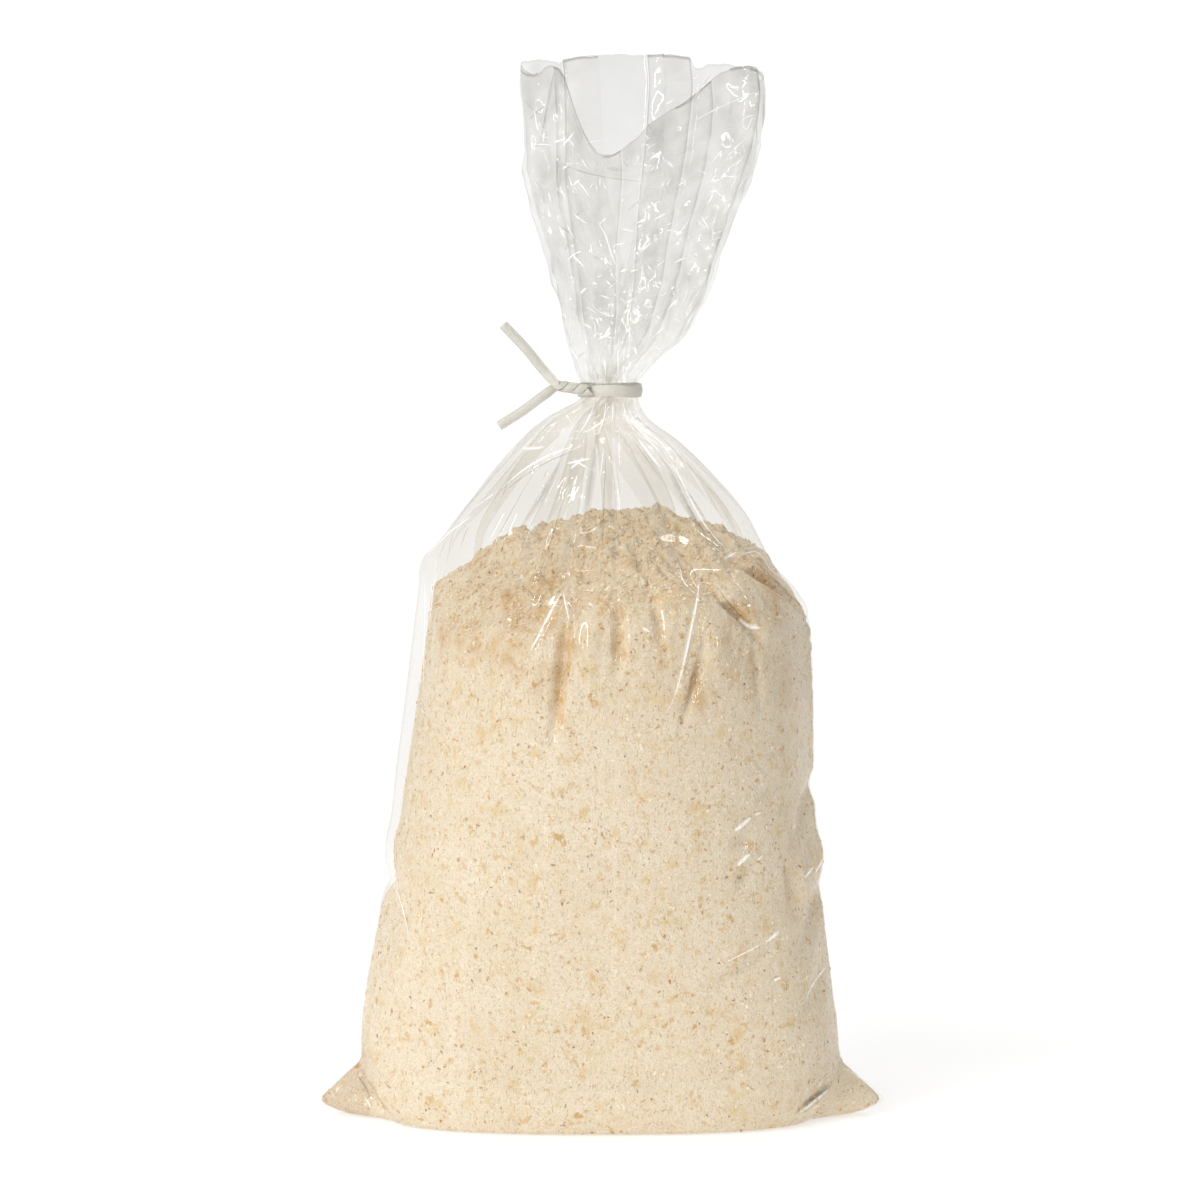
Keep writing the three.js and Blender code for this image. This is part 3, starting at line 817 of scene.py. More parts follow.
# Where it shows folds as thin darker lines or bands, in the same way: partly the film's doubled
# layers, partly painted shade in creases, at the ears and beside the painted highlights.
FOLD_AND_SHADE_LINES = [
    (0.7, (556, 64), (552, 84), (548, 106), (541, 140)),
    (0.18, (647, 64), (648, 100), (647, 134)),
    (0.25, (558, 163), (580, 171), (606, 177), (645, 182)),
    (0.2, (529, 151), (534, 146), (551, 146)),
    (0.8, (763, 92), (763, 112), (762, 130)),
    (0.25, (693, 102), (700, 90), (713, 72)),
    (1.6, (598, 430), (592, 470), (584, 530)),
    (0.2, (545, 455), (520, 496), (496, 540), (470, 580)),
    (0.2, (573, 465), (562, 504), (548, 550), (533, 592)),
    (0.25, (606, 450), (604, 500), (602, 560)),
    (0.35, (500, 495), (526, 475), (552, 460), (576, 450)),
    (0.35, (634, 442), (648, 461), (660, 478)),
    (0.3, (656, 452), (671, 472), (687, 504), (699, 526), (713, 543)),
    (1.2, (560, 462), (544, 492), (520, 530)),
    (1.2, (668, 470), (690, 512), (716, 550)),
    (0.2, (632, 520), (636, 560), (640, 600)),
    (0.5, (714, 583), (730, 604), (752, 627)),
    (0.6, (746, 552), (774, 580), (804, 609)),
    (0.2, (640, 470), (660, 510), (676, 560)),
    (0.9, (800, 1107), (816, 1097), (834, 1083)),
    (0.2, (838, 1066), (822, 1078), (800, 1108)),
    (0.5, (356, 1074), (363, 1083), (371, 1099)),
]
SAMPLE_STEP = 0.8  # mm along a crease
PIXEL_STEP = SAMPLE_STEP / PHOTO_MM
FEWEST_SAMPLES = 4
LINE_STEPS = 40
RIDGE = 0.35  # its height over its half-width
RIDGE_LIFT = 0.12  # from the film
EDGE_LIFT = 0.08
RAY_START = 300.0
# Small painted highlights on creases scattered over the film: seed, count, then ranges of the angle,
# the height, the length in mm, the slant in degrees and the half-width in mm.
SCATTERED = [
    (71, 35, (-20, 200), (140, 200), (3, 16), (-15, 15), (0.2, 0.5)),
    (72, 40, (-20, 200), (214, 284), (2, 7), (-60, 60), (0.2, 0.5)),
    (73, 75, (200, 340), (214, 276), (1.2, 4.5), (-80, 80), (0.22, 0.55)),
]


def photo_ray(pixel):
    """Where the camera is, and the direction from it through a pixel of the photograph."""
    tilt = math.radians(CAMERA_ELEVATION)
    aim = np.array([0, 0, (FLOOR_PIXEL - PHOTO_MIDDLE) * PHOTO_MM / math.cos(tilt)])
    ahead = np.array([0, math.cos(tilt), -math.sin(tilt)])
    above = np.array([0, math.sin(tilt), math.cos(tilt)])
    across = np.array([1.0, 0, 0])
    right, up = pixel[0] - PHOTO_MIDDLE, PHOTO_MIDDLE - pixel[1]
    shift = across * right * PHOTO_MM + above * up * PHOTO_MM
    return aim - ahead * CAMERA_DISTANCE, ahead * CAMERA_DISTANCE + shift


def film_tree(pieces):
    """A search tree over the faces of the film, in mm."""
    corners, faces = [], []
    for piece in pieces:
        offset = len(corners)
        corners += [tuple(corner.co / MM) for corner in piece.data.vertices]
        faces += [[offset + i for i in face.vertices] for face in piece.data.polygons]
    return BVHTree.FromPolygons(corners, faces)


def draped(tree, rays):
    """Points where rays first meet the film, and the normals there, turned towards the rays."""
    places, normals = [], []
    for origin, direction in rays:
        place_on, normal, _, _ = tree.ray_cast(Vector(origin), Vector(direction).normalized())
        if place_on is None:
            continue
        facing = -1 if normal.dot(Vector(direction)) > 0 else 1
        places.append(place_on)
        normals.append(normal * facing)
    return np.array(places), np.array(normals)


def ribbon(places, normals, half_width):
    """Three rows of points along a crease: one edge, its ridge and the other edge."""
    smoothing = np.array([0.25, 0.5, 0.25])
    for _ in range(2):
        for values in (places, normals):
            padded = np.pad(values, ((1, 1), (0, 0)), mode="edge")
            for k in range(3):
                values[:, k] = np.convolve(padded[:, k], smoothing, mode="valid")
    along = np.gradient(places, axis=0)
    across = unit(np.cross(normals, along))
    t = np.linspace(0, 1, len(places))[:, None]
    width = half_width * (0.15 + 0.85 * np.sin(np.pi * t) ** 0.6)
    above = unit(normals)
    return np.stack([
        places - across * width + above * EDGE_LIFT,
        places + above * (RIDGE_LIFT + RIDGE * width),
        places + across * width + above * EDGE_LIFT,
    ], axis=1)


def make_ribbons(name, ribbons, material):
    """All strips of one kind as one piece, solid along their ridges and clear at their edges: painted
    highlights are one kind, fold lines with painted shade another.
    """
    points, faces, solid = [], [], []
    offset = 0
    for rows in ribbons:
        count = len(rows)
        points.append(rows.reshape(-1, 3))
        faces.append(grid_faces(count, 3, wrap=False) + offset)
        ends = np.sin(np.pi * (np.arange(count) + 0.5) / count) ** 0.5
        solid.append((ends[:, None] * np.array([0.0, 1.0, 0.0])).ravel())
        offset += count * 3
    piece = mesh_piece(name, np.vstack(points), np.vstack(faces), material)
    set_attribute(piece, "solid", np.concatenate(solid))
    return place(piece, "bag")


def shown_ribbons(tree, lines):
    """Strips draped over the film where the photograph shows them, for the painted highlights and for
    the fold lines with painted shade.
    """
    ribbons = []
    for half_width, *pixels in lines:
        line = smooth_path(pixels, LINE_STEPS) if len(pixels) > 2 else np.array(pixels, float)
        count = max(int(length_along(line)[-1] / PIXEL_STEP), FEWEST_SAMPLES)
        rays = [photo_ray(pixel) for pixel in resampled(line, count)]
        places, normals = draped(tree, rays)
        if len(places) >= FEWEST_SAMPLES:
            ribbons.append(ribbon(places, normals, half_width))
    return ribbons


def scattered_highlights(tree, seed, count, angles, heights, lengths, slants, half_widths):
    """Small creases with painted highlights at random places, draped over the film from outside."""
    rng = np.random.default_rng(seed)
    ribbons = []
    for _ in range(count):
        angle = np.radians(rng.uniform(*angles))
        height = rng.uniform(*heights)
        length = rng.uniform(*lengths)
        slant = np.radians(rng.uniform(*slants))
        outward = np.array([math.cos(angle), math.sin(angle), 0])
        sideways = np.array([-math.sin(angle), math.cos(angle), 0])
        middle = np.array([MOUTH_X if height > TIE_HEIGHT else 0, 0, height])
        count_along = max(int(length / SAMPLE_STEP), FEWEST_SAMPLES + 1)
        rays = []
        for step in np.linspace(-0.5, 0.5, count_along) * length:
            shift = sideways * step * math.sin(slant) + np.array([0, 0, step * math.cos(slant)])
            rays.append((middle + outward * RAY_START + shift, -outward))
        places, normals = draped(tree, rays)
        if len(places) >= FEWEST_SAMPLES:
            ribbons.append(ribbon(places, normals, rng.uniform(*half_widths)))
    return ribbons


# ---- The crumbs ----

# Height where the film leaves the crumbs, by angle.
CONTACT = profile([
    (0, 159), (20, 159), (45, 150), (60, 152), (84, 144), (100, 150), (120, 146), (135, 151),
    (160, 150), (180, 150), (196, 143), (212, 139), (228, 141), (244, 138), (256, 142), (266, 148),
    (280, 147), (292, 151), (306, 148), (320, 154), (340, 158), (360, 159),
])
# Warmer spots in the crumbs, and painted shade in furrows and a pocket: angle, height, reach in
# degrees and in mm, amount.
WARM_AND_SHADED_SPOTS = [
    (340, 153, 13, 7, 1.0),
    (330, 146, 8, 6, 0.8),
    (312, 144, 6, 5, 0.8),
    (318, 138, 7, 12, 0.45),
    (238, 149, 20, 9, 0.75),
    (222, 146, 12, 8, 0.6),
    (230, 138, 20, 8, 0.45),
    (255, 132, 2.6, 17, 0.8),
    (271, 141, 2.6, 11, 0.8),
    (283, 145, 2.6, 9, 0.6),
    (295, 128, 3.5, 10, 0.7),
    (250, 128, 6, 8, 0.4),
    (338, 105, 14, 35, 0.25),
    (50, 150, 20, 8, 0.65),
    (120, 146, 18, 8, 0.6),
]
SPOT_CORE = 1.3  # a spot is full to 0.3 of its reach from its middle
# Under the front pleats: angle, reach in degrees, height that it starts at, its run, amount.
UNDER_PLEATS = (288, 30, 110, 16, 0.24)
FOOT_LOOSENESS = 0.47  # where the film begins to leave the crumbs
FOOT_RUN = 20.0
HEAP_FROM = 146.0
HEAP_RUN = 16.0
HEAP_PALENESS = 0.85  # how much less of that colour the heap shows
HEAP_TOP = np.array([4.0, 6.0, 169.6])
HEAP_ROUND = profile([(0, 2.5), (90, 2.0), (180, 1.8), (270, 1.5), (330, 2.1), (360, 2.5)])

CORE_COLUMNS = 440
CORE_SIDE_ROWS = 120
CORE_TOP_ROWS = 64
CORE_BASE_SHARES = (0.02, 0.25, 0.5, 0.75, 0.93)
CORE_LIFT = 0.4  # of its base, off the film's
CORE_EARS = 0.92  # how far the crumbs fill the ears
SIDE_TURN = 0.25  # degrees to each side, for the outline's direction
# How the crumbs fill the film's creased edges: up to which height, over which run, least, more.
RIGHT_EDGE_FILL = (150, 12, 0, 0.85)
LEFT_EDGE_FILL = (72, 14, 0.1, 0.7)
# Layers of noise: height in mm, size in mm, seed.
HEAP_LUMPS = [(1.1, 15, 21), (0.7, 6, 22), (0.6, 3.2, 25)]
GRIT = [(0.3, 2.2, 23), (0.2, 1.1, 24)]
GRIT_WAVES = 40
MOST_GRIT = 0.35
LOOSE_FROM = 112.0  # height where the film begins to press less
LOOSE_RUN = 18.0
SPOTTED = [(0.6, 9, 27), (0.5, 4, 28)]  # the same for how loose the crumbs are, as a share
EAR_START = 62.0  # mm to each side, where the ears begin
EAR_TOP = 26.0


def smooth_noise(points, scale, seed, waves=28):
    """A smooth random field of about -1 to 1, as a sum of plane waves about scale mm long."""
    rng = np.random.default_rng(seed)
    directions = rng.normal(size=(waves, 3))
    directions /= np.linalg.norm(directions, axis=1)[:, None]
    lengths = scale * rng.uniform(0.6, 1.6, waves)
    phases = rng.uniform(0, 2 * np.pi, waves)
    total = np.zeros(points.shape[:-1])
    for direction, length, phase in zip(directions, lengths, phases):
        total += np.sin(points @ direction * (2 * np.pi / length) + phase)
    return total / math.sqrt(waves)


def noise_layers(points, layers, level=0.0, waves=28):
    """Smooth random fields of several heights, sizes and seeds, added to a level."""
    fields = (size * smooth_noise(points, scale, seed, waves) for size, scale, seed in layers)
    return sum(fields, level)


def pressed_in(height, angle):
    """Broad hollows that the pleats' feet press into the crumbs, as the film's own panels do."""
    edges = np.append(BODY.angle, 360.0)
    i = np.clip(np.searchsorted(edges, angle % 360, side="right") - 1, 0, len(BODY.angle) - 1)
    along = (angle % 360 - edges[i]) / (edges[i + 1] - edges[i])
    grown = smoothstep((height - BODY.foot[i]) / HOLLOW_RUN)
    return HOLLOW_DEPTH(height) * BODY.hollow[i] * grown * np.sin(np.pi * along)


def edge_fill(height, top, run, least, more):
    return least + more * smoothstep((top - height) / run)


def core_side(height, angle):
    """Points on the crumbs where they lie against the film."""
    in_right = edge_fill(height, *RIGHT_EDGE_FILL)
    in_left = edge_fill(height, *LEFT_EDGE_FILL)
    filled = np.where(np.abs(angle_between(angle, 0)) < 90, in_right, in_left)
    x, y = outline(height, angle, CORE_EARS, filled)
    ahead = outline(height, angle + SIDE_TURN, CORE_EARS, filled)
    behind = outline(height, angle - SIDE_TURN, CORE_EARS, filled)
    dx, dy = ahead[0] - behind[0], ahead[1] - behind[1]
    size = np.hypot(dx, dy)
    tip = np.minimum(np.abs(angle_between(angle, 0)), np.abs(angle_between(angle, 180)))
    inward = FILM_GAP * smoothstep(tip / 2) + buckled_in(height, angle) + pressed_in(height, angle)
    return np.stack([x - dy / size * inward, y + dx / size * inward, height], axis=-1)


def core_points():
    """Rows of points up the sides of the crumbs, then over the heap to its top."""
    angle = np.linspace(0, 360, CORE_COLUMNS, endpoint=False)[None, :]
    share = np.linspace(0, 1, CORE_SIDE_ROWS)[:, None]
    height = CORE_LIFT + (CONTACT(angle) - CORE_LIFT) * share
    side = core_side(height, angle + np.zeros_like(height))

    inner = np.linspace(1, 0.01, CORE_TOP_ROWS + 1)[1:, None, None]
    rim = side[-1][None]
    top = HEAP_TOP + (rim - HEAP_TOP) * inner
    rise = 1 - inner[..., 0] ** HEAP_ROUND(angle)
    top[..., 2] = rim[..., 2] + (HEAP_TOP[2] - rim[..., 2]) * rise
    top[..., 2] += noise_layers(top, HEAP_LUMPS) * smoothstep((1 - inner[..., 0]) / 0.25)

    points = np.concatenate([side, top])
    grit = noise_layers(points, GRIT, waves=GRIT_WAVES)
    on_top = np.zeros(points.shape[:2])
    on_top[CORE_SIDE_ROWS:] = smoothstep((1 - inner[..., 0]) / 0.08)
    centre = points * (0, 0, 1) + HEAP_TOP * (1, 1, 0)
    outward = points - centre
    outward /= np.linalg.norm(outward, axis=-1)[..., None] + 1e-9
    loosely_held = smoothstep((points[..., 2] - LOOSE_FROM) / LOOSE_RUN)
    coarse = np.where(on_top > 0, 0.15 + 0.85 * on_top, 0.25 + 0.4 * loosely_held)
    amount = coarse * np.minimum(grit, MOST_GRIT)
    points = points + outward * (amount * (1 - on_top))[..., None]
    points[..., 2] += amount * on_top
    return points


def looseness_and_shade(points, angle):
    """How loose the crumbs lie, from 0 to 1: the heap, its foot under the film, and the spots, partly
    painted shade.
    """
    height = points[..., 2]
    above = height - CONTACT(angle) + 6 * smooth_noise(points, 16, 26)
    at_foot = FOOT_LOOSENESS * smoothstep(above / FOOT_RUN + 0.6)
    loose = at_foot * (1 - HEAP_PALENESS * smoothstep((height - HEAP_FROM) / HEAP_RUN))
    middle, wide, start, run, amount = UNDER_PLEATS
    under_pleats = smoothstep((height - start) / run)
    under_pleats *= smoothstep(SPOT_CORE - np.abs(angle_between(angle, middle)) / wide)
    loose = np.maximum(loose, amount * under_pleats)
    for middle, level, wide, tall, amount in WARM_AND_SHADED_SPOTS:
        around = smoothstep(SPOT_CORE - np.abs(angle_between(angle, middle)) / wide)
        within = smoothstep(SPOT_CORE - np.abs(height - level) / tall)
        loose = np.maximum(loose, amount * around * within)
    return loose * noise_layers(points, SPOTTED, level=0.8)


def make_core(material):
    """The mass of crumbs. Gives the rows of points that grains are bedded in."""
    surface = core_points()
    points = with_base(surface, CORE_BASE_SHARES)
    rows, columns = points.shape[:2]
    faces = capped_faces(rows, columns)
    piece = mesh_piece("crumb_core", points.reshape(-1, 3), faces, material)
    angle = np.linspace(0, 360, CORE_COLUMNS, endpoint=False)
    x, height = points[..., 0], points[..., 2]
    # Painted shade on the ears, strongest on the left ear, which the body's bulge shades.
    low = smoothstep((EAR_TOP - height) / 8)
    left_ear_shade = smoothstep((-x - EAR_START) / 6) * low
    right_ear_shade = smoothstep((x - EAR_START) / 6) * low
    loose = looseness_and_shade(points, angle) + 0.3 * left_ear_shade + 0.1 * right_ear_shade
    set_attribute(piece, "loose", np.clip(loose, 0, 1))
    set_attribute(piece, "shade", left_ear_shade)
    place(piece, "bag")
    return surface


# ---- Loose grains ----


def icosahedron():
    """Corners and faces of a regular icosahedron of radius 1."""
    g = (1 + math.sqrt(5)) / 2
    corners = []
    for a in (-1, 1):
        for b in (-g, g):
            corners += [(0, a, b), (a, b, 0), (b, 0, a)]
    corners = np.array(corners, float) / math.hypot(1, g)
    faces = []
    edge = 2 / math.hypot(1, g)
    for i in range(12):
        for j in range(i + 1, 12):
            for k in range(j + 1, 12):
                trio = corners[[i, j, k]]
                sides = [np.linalg.norm(trio[m] - trio[m - 1]) for m in range(3)]
                if max(sides) < edge * 1.01:
                    normal = np.cross(trio[1] - trio[0], trio[2] - trio[0])
                    faces.append((i, j, k) if normal @ trio.sum(0) > 0 else (i, k, j))
    return corners, np.array(faces)


# Name, count, smallest and largest length in mm, width to length, thickness to length, how many
# times closer together on the heap than on the sides, darker and lighter tone.
GRAINS = [
    ("grains_pale", 7500, 0.5, 1.6, 0.7, 0.5, 5.0, (246, 231, 203), (253, 243, 222)),
    ("grains_cream", 6500, 0.5, 1.6, 0.6, 0.45, 3.5, (236, 216, 183), (247, 231, 204)),
    ("grains_golden", 6200, 0.5, 1.8, 0.4, 0.3, 1.6, (228, 199, 146), (242, 221, 178)),
    ("grains_crust", 1900, 0.4, 1.6, 0.4, 0.3, 1.2, (180, 130, 74), (222, 178, 116)),
    ("grains_dark", 900, 0.3, 0.9, 0.45, 0.4, 0.9, (112, 88, 68), (164, 130, 98)),
]
GRAIN_SEED = 40
UNEVEN_SPREAD = 0.8  # how much the grains gather in some places
THICKEST_PRESSED = 0.55  # of a grain that the film presses flat
ANY_THICKNESS = 9.0
GRAIN_ROUGHNESS = 0.28  # how far a corner is off its regular place
LOWEST_GRAIN = 0.2


def surface_draws(points, count, rng, top_share):
    """Random places on the core, with their outward normals, and which of them are on the heap."""
    rows, columns = points.shape[:2]
    a = points[:-1]
    b = np.roll(points, -1, axis=1)[:-1]
    d = points[1:]
    normal = np.cross(b - a, d - a)
    area = np.linalg.norm(normal, axis=-1)
    row_top = (np.arange(rows - 1) >= CORE_SIDE_ROWS - 1)[:, None]
    weight = area * np.where(row_top, top_share, 1.0)
    weight *= np.exp(UNEVEN_SPREAD * smooth_noise(a, 11, int(rng.integers(1000))))
    pick = rng.choice(weight.size, count, p=(weight / weight.sum()).ravel())
    u, v = rng.uniform(size=(2, count, 1))
    a, b, d = (corner.reshape(-1, 3)[pick] for corner in (a, b, d))
    spots = a + (b - a) * u + (d - a) * v
    normals = normal.reshape(-1, 3)[pick] / area.ravel()[pick][:, None]
    return spots, normals, (pick // columns) >= CORE_SIDE_ROWS - 1


def make_grains(core, seed, name, count, lengths, shares, on_heap, material):
    """Irregular flakes of one kind, as one mesh, bedded in the core's surface.

    lengths are the smallest and the largest, and shares the width and thickness to the length.
    """
    rng = np.random.default_rng(seed)
    spots, normals, on_top = surface_draws(core, count, rng, on_heap)
    corners, faces = icosahedron()
    length = lengths[0] + (lengths[1] - lengths[0]) * rng.power(0.45, count)
    width = length * shares[0] * rng.uniform(0.6, 1.3, count)
    thick = length * shares[1] * rng.uniform(0.7, 1.2, count)
    thick = np.minimum(thick, np.where(on_top, ANY_THICKNESS, THICKEST_PRESSED))
    tangent = unit(np.cross(normals, rng.normal(size=(count, 3))))
    tilt = rng.normal(size=(count, 3)) * np.where(on_top, 0.5, 0.06)[:, None]
    up = unit(normals + tilt)
    tangent -= up * np.sum(tangent * up, axis=1)[:, None]
    tangent = unit(tangent)
    side = np.cross(up, tangent)
    shape = corners[None] * (1 + rng.uniform(-GRAIN_ROUGHNESS, GRAIN_ROUGHNESS, (count, 12, 1)))
    lift = np.where(on_top, 0.15 * thick, 0.02)
    points = (
        spots[:, None]
        + tangent[:, None] * shape[..., :1] * (length / 2)[:, None, None]
        + side[:, None] * shape[..., 1:2] * (width / 2)[:, None, None]
        + up[:, None] * (shape[..., 2:] * (thick / 2)[:, None, None] + lift[:, None, None])
    ).reshape(-1, 3)
    points[:, 2] = np.maximum(points[:, 2], LOWEST_GRAIN)
    all_faces = (faces[None] + 12 * np.arange(count)[:, None, None]).reshape(-1, 3)
    piece = mesh_piece(name, points, all_faces, material, smooth=False)
    return place(piece, "bag")


# ---- The twist tie ----

TIE_WIDTH = 3.2
TAIL_WIDTH = 2.7
TWIST_WIDTH = 2.2  # the strip is creased where it twists
TIE_EDGE = 0.42  # thickness beside the wire
TIE_WIRE = 0.9  # thickness over the wire
LOOP_WAVE = 0.25
TWIST_TURNS = 1.5
TWIST_START = np.array([-2.8, -8.0, 205.2])
TWIST_END = np.array([-11.4, -8.8, 206.6])
STRAND_OFFSET = 1.15
TAILS = [
    (0.0, [(-15.2, -8.8, 210.4), (-20.6, -9.3, 217.0), (-26.8, -9.8, 223.6)]),
    (np.pi, [(-16.4, -9.2, 203.4), (-21.6, -10.0, 199.6), (-28.0, -10.8, 195.6)]),
]
TAIL_FACING = np.array([0.1, -1.0, 0.15])
LOOP_ROWS = 120
TWIST_ROWS = 40
TAIL_ROWS = 62
SHARED_ROWS = 4  # of the tail's route, that lie in the twist


def strip_section():
    """Half of the strip's cross-section: (across, thickness), flat with the wire in the middle."""
    across = np.linspace(-1, 1, 15)
    wire = np.sqrt(np.clip(1 - (across / 0.6) ** 2, 0, 1))
    thick = TIE_EDGE / 2 + (TIE_WIRE - TIE_EDGE) / 2 * smoothstep(wire)
    return across / 2, thick


def strip_points(centres, widths, width, loop=False):
    """Rings of points round a strip along centres, width mm wide in the direction of widths."""
    if loop:
        along = unit(np.roll(centres, -1, axis=0) - np.roll(centres, 1, axis=0))
    else:
        along = unit(np.gradient(centres, axis=0))
    wide = unit(widths - along * np.sum(widths * along, axis=1, keepdims=True))
    thick = np.cross(along, wide)
    across, half = strip_section()
    ring_u = np.concatenate([across, across[::-1]])
    ring_v = np.concatenate([half, -half[::-1]])
    ring_u = ring_u * np.reshape(width, (-1, 1))
    return centres[:, None] + wide[:, None] * ring_u[..., None] - thick[:, None] * ring_v[:, None]


def strand_path(start, tail):
    """Centres, width directions and widths of one end of the strip: its twist, then its tail."""
    axis = unit(TWIST_END - TWIST_START)
    up = unit(np.array([0, 0, 1.0]) - axis * axis[2])
    side = np.cross(axis, up)
    share = np.linspace(0, 1, TWIST_ROWS)[:, None]
    turn = start + 2 * np.pi * TWIST_TURNS * share
    off = side * np.cos(turn) + up * np.sin(turn)
    centres = TWIST_START + (TWIST_END - TWIST_START) * share + off * STRAND_OFFSET
    twisted = np.cross(axis, off)
    route = smooth_path([centres[-2], centres[-1], *tail], TAIL_ROWS)[SHARED_ROWS:]
    flat = unit(np.cross(np.gradient(route, axis=0), TAIL_FACING))
    if flat[0] @ twisted[-1] < 0:
        flat = -flat
    blend = smoothstep(np.linspace(0, 2.5, len(route)))[:, None]
    centres = np.vstack([centres, route])
    directions = np.vstack([twisted, twisted[-1] * (1 - blend) + flat * blend])
    grown = smoothstep((np.arange(len(centres)) - 34) / 16)
    return centres, directions, TWIST_WIDTH + (TAIL_WIDTH - TWIST_WIDTH) * grown


def make_tie(material):
    turn = np.linspace(0, 2 * np.pi, LOOP_ROWS, endpoint=False)
    centres = np.stack([
        NECK_X + TIE_RADIUS * np.cos(turn),
        TIE_RADIUS * np.sin(turn),
        TIE_HEIGHT + LOOP_WAVE * np.sin(3 * turn),
    ], axis=1)
    directions = np.array([0, 0, 1.0]) + np.zeros_like(centres)
    loop = strip_points(centres, directions, TIE_WIDTH, loop=True)
    columns = loop.shape[1]
    count = LOOP_ROWS * columns
    faces = (grid_faces(LOOP_ROWS + 1, columns) % count).tolist()
    points = [loop.reshape(-1, 3)]
    for start, tail in TAILS:
        strand = strip_points(*strand_path(start, tail))
        faces += capped_faces(len(strand), columns, count)
        points.append(strand.reshape(-1, 3))
        count += len(strand) * columns
    piece = mesh_piece("twist_tie_strip", np.vstack(points), faces, material)
    return place(piece, "tie")


# ---- Materials ----


def linear(r, g, b):
    """An sRGB colour of 0 to 255 as the linear values that Blender takes."""
    values = np.array([r, g, b]) / 255
    values = np.where(values <= 0.04045, values / 12.92, ((values + 0.055) / 1.055) ** 2.4)
    return (*values.tolist(), 1.0)


def set_inputs(node, settings):
    """Sets a node's inputs by their names, which have _ for a space."""
    for key, value in settings.items():
        node.inputs[key.replace("_", " ")].default_value = value


def new_material(name, **settings):
    """A material's node tree and its shader, and places on the object to feed patterns with."""
    material = bpy.data.materials.new(name)
    material.use_nodes = True
    tree = material.node_tree
    shader = tree.nodes["Principled BSDF"]
    set_inputs(shader, settings)
    return material, tree, shader, add(tree, "ShaderNodeTexCoord").outputs["Object"]


def add(tree, kind, **settings):
    """A node of that kind, with its own properties and its inputs set by name."""
    node = tree.nodes.new(kind)
    for key, value in settings.items():
        if hasattr(node, key):
            setattr(node, key, value)
        else:
            set_inputs(node, {key: value})
    return node


def attribute(tree, name):
    return add(tree, "ShaderNodeAttribute", attribute_name=name).outputs["Fac"]


def noise(tree, vector, scale, detail, roughness=0.5):
    node = add(tree, "ShaderNodeTexNoise", Scale=scale, Detail=detail, Roughness=roughness)
    tree.links.new(vector, node.inputs["Vector"])
    return node.outputs["Fac"]


def calculated(tree, operation, *values):
    """Arithmetic on outputs of nodes and plain numbers."""
    node = add(tree, "ShaderNodeMath", operation=operation)
    for value, socket in zip(values, node.inputs):
        if isinstance(value, float):
            socket.default_value = value
        else:
            tree.links.new(value, socket)
    return node.outputs[0]


def ramp(tree, factor, stops):
    """A colour that follows factor, through stops of (position, colour)."""
    node = add(tree, "ShaderNodeValToRGB")
    tree.links.new(factor, node.inputs["Fac"])
    elements = node.color_ramp.elements
    while len(elements) < len(stops):
        elements.new(0.5)
    for element, (position, colour) in zip(elements, stops):
        element.position = position
        element.color = colour
    return node.outputs["Color"]


def blended(tree, factor, base, colour, blend="MIX"):
    """A colour laid over another, or multiplied with it, by a factor that varies."""
    mixed = add(tree, "ShaderNodeMix", data_type="RGBA", blend_type=blend)
    tree.links.new(factor, mixed.inputs["Factor"])
    tree.links.new(base, mixed.inputs[6])
    mixed.inputs[7].default_value = colour
    return mixed.outputs[2]


def patches(tree, vector, scale, low, high, amount, detail=3.0):
    """Soft patches of noise: 0 below low, rising to amount at high."""
    mask = add(tree, "ShaderNodeMapRange", From_Min=low, From_Max=high, To_Max=amount)
    tree.links.new(noise(tree, vector, scale, detail, 0.6), mask.inputs["Value"])
    return mask.outputs["Result"]


def streaks(tree, vector, turn, low, amount):
    """Thin short streaks that slant by turn, like flakes pressed against the film."""
    slanted = add(tree, "ShaderNodeMapping", Rotation=(turn, turn, 0), Scale=(2.6, 2.6, 0.7))
    tree.links.new(vector, slanted.inputs["Vector"])
    return patches(tree, slanted.outputs["Vector"], 800, low, low + 0.06, amount, detail=1.0)


def bumped(tree, shader, height, strength, distance, invert=False):
    """Relief on a shader, too fine for the mesh."""
    bump = add(tree, "ShaderNodeBump", Strength=strength, Distance=distance, invert=invert)
    tree.links.new(height, bump.inputs["Height"])
    tree.links.new(bump.outputs["Normal"], shader.inputs["Normal"])
    return bump.outputs["Normal"]


def show(tree, surface):
    tree.links.new(surface, tree.nodes["Material Output"].inputs["Surface"])


def partly_clear(tree, clear, shader, amount):
    """Shows a shader by an amount that varies, and what is behind it for the rest."""
    mixed = add(tree, "ShaderNodeMixShader")
    tree.links.new(amount, mixed.inputs["Fac"])
    tree.links.new(clear.outputs[0], mixed.inputs[1])
    tree.links.new(shader.outputs[0], mixed.inputs[2])
    show(tree, mixed.outputs[0])


# How the film tints what is behind it, where it is thin and where it is veiled: the crumbs warm the
# film round them.
WARM_FILM = (0.996, 0.992, 0.984, 1), (0.86, 0.842, 0.805, 1)
NEUTRAL_FILM = (0.997, 0.996, 0.992, 1), (0.862, 0.856, 0.84, 1)
RIM_TINT = (0.55, 0.55, 0.55, 1)
# Darker tint of the fold lines: partly doubled film, partly painted shade.
FOLD_AND_SHADE_TINT = (0.72, 0.71, 0.69, 1)
FACING_GLOSS = 0.07  # of both faces of the film, seen straight on
# The painted highlights glow a little, though they are no lamp.
PAINTED_HIGHLIGHT_GLOW = 0.22
WHITE = (1, 1, 1, 1)
# Painted shade too: the same tint darkens furrows, a pocket and the ears.
LOOSE_AND_SHADE_TINT = (0.85, 0.71, 0.53, 1)  # the loose heap is warmer than what the film presses flat
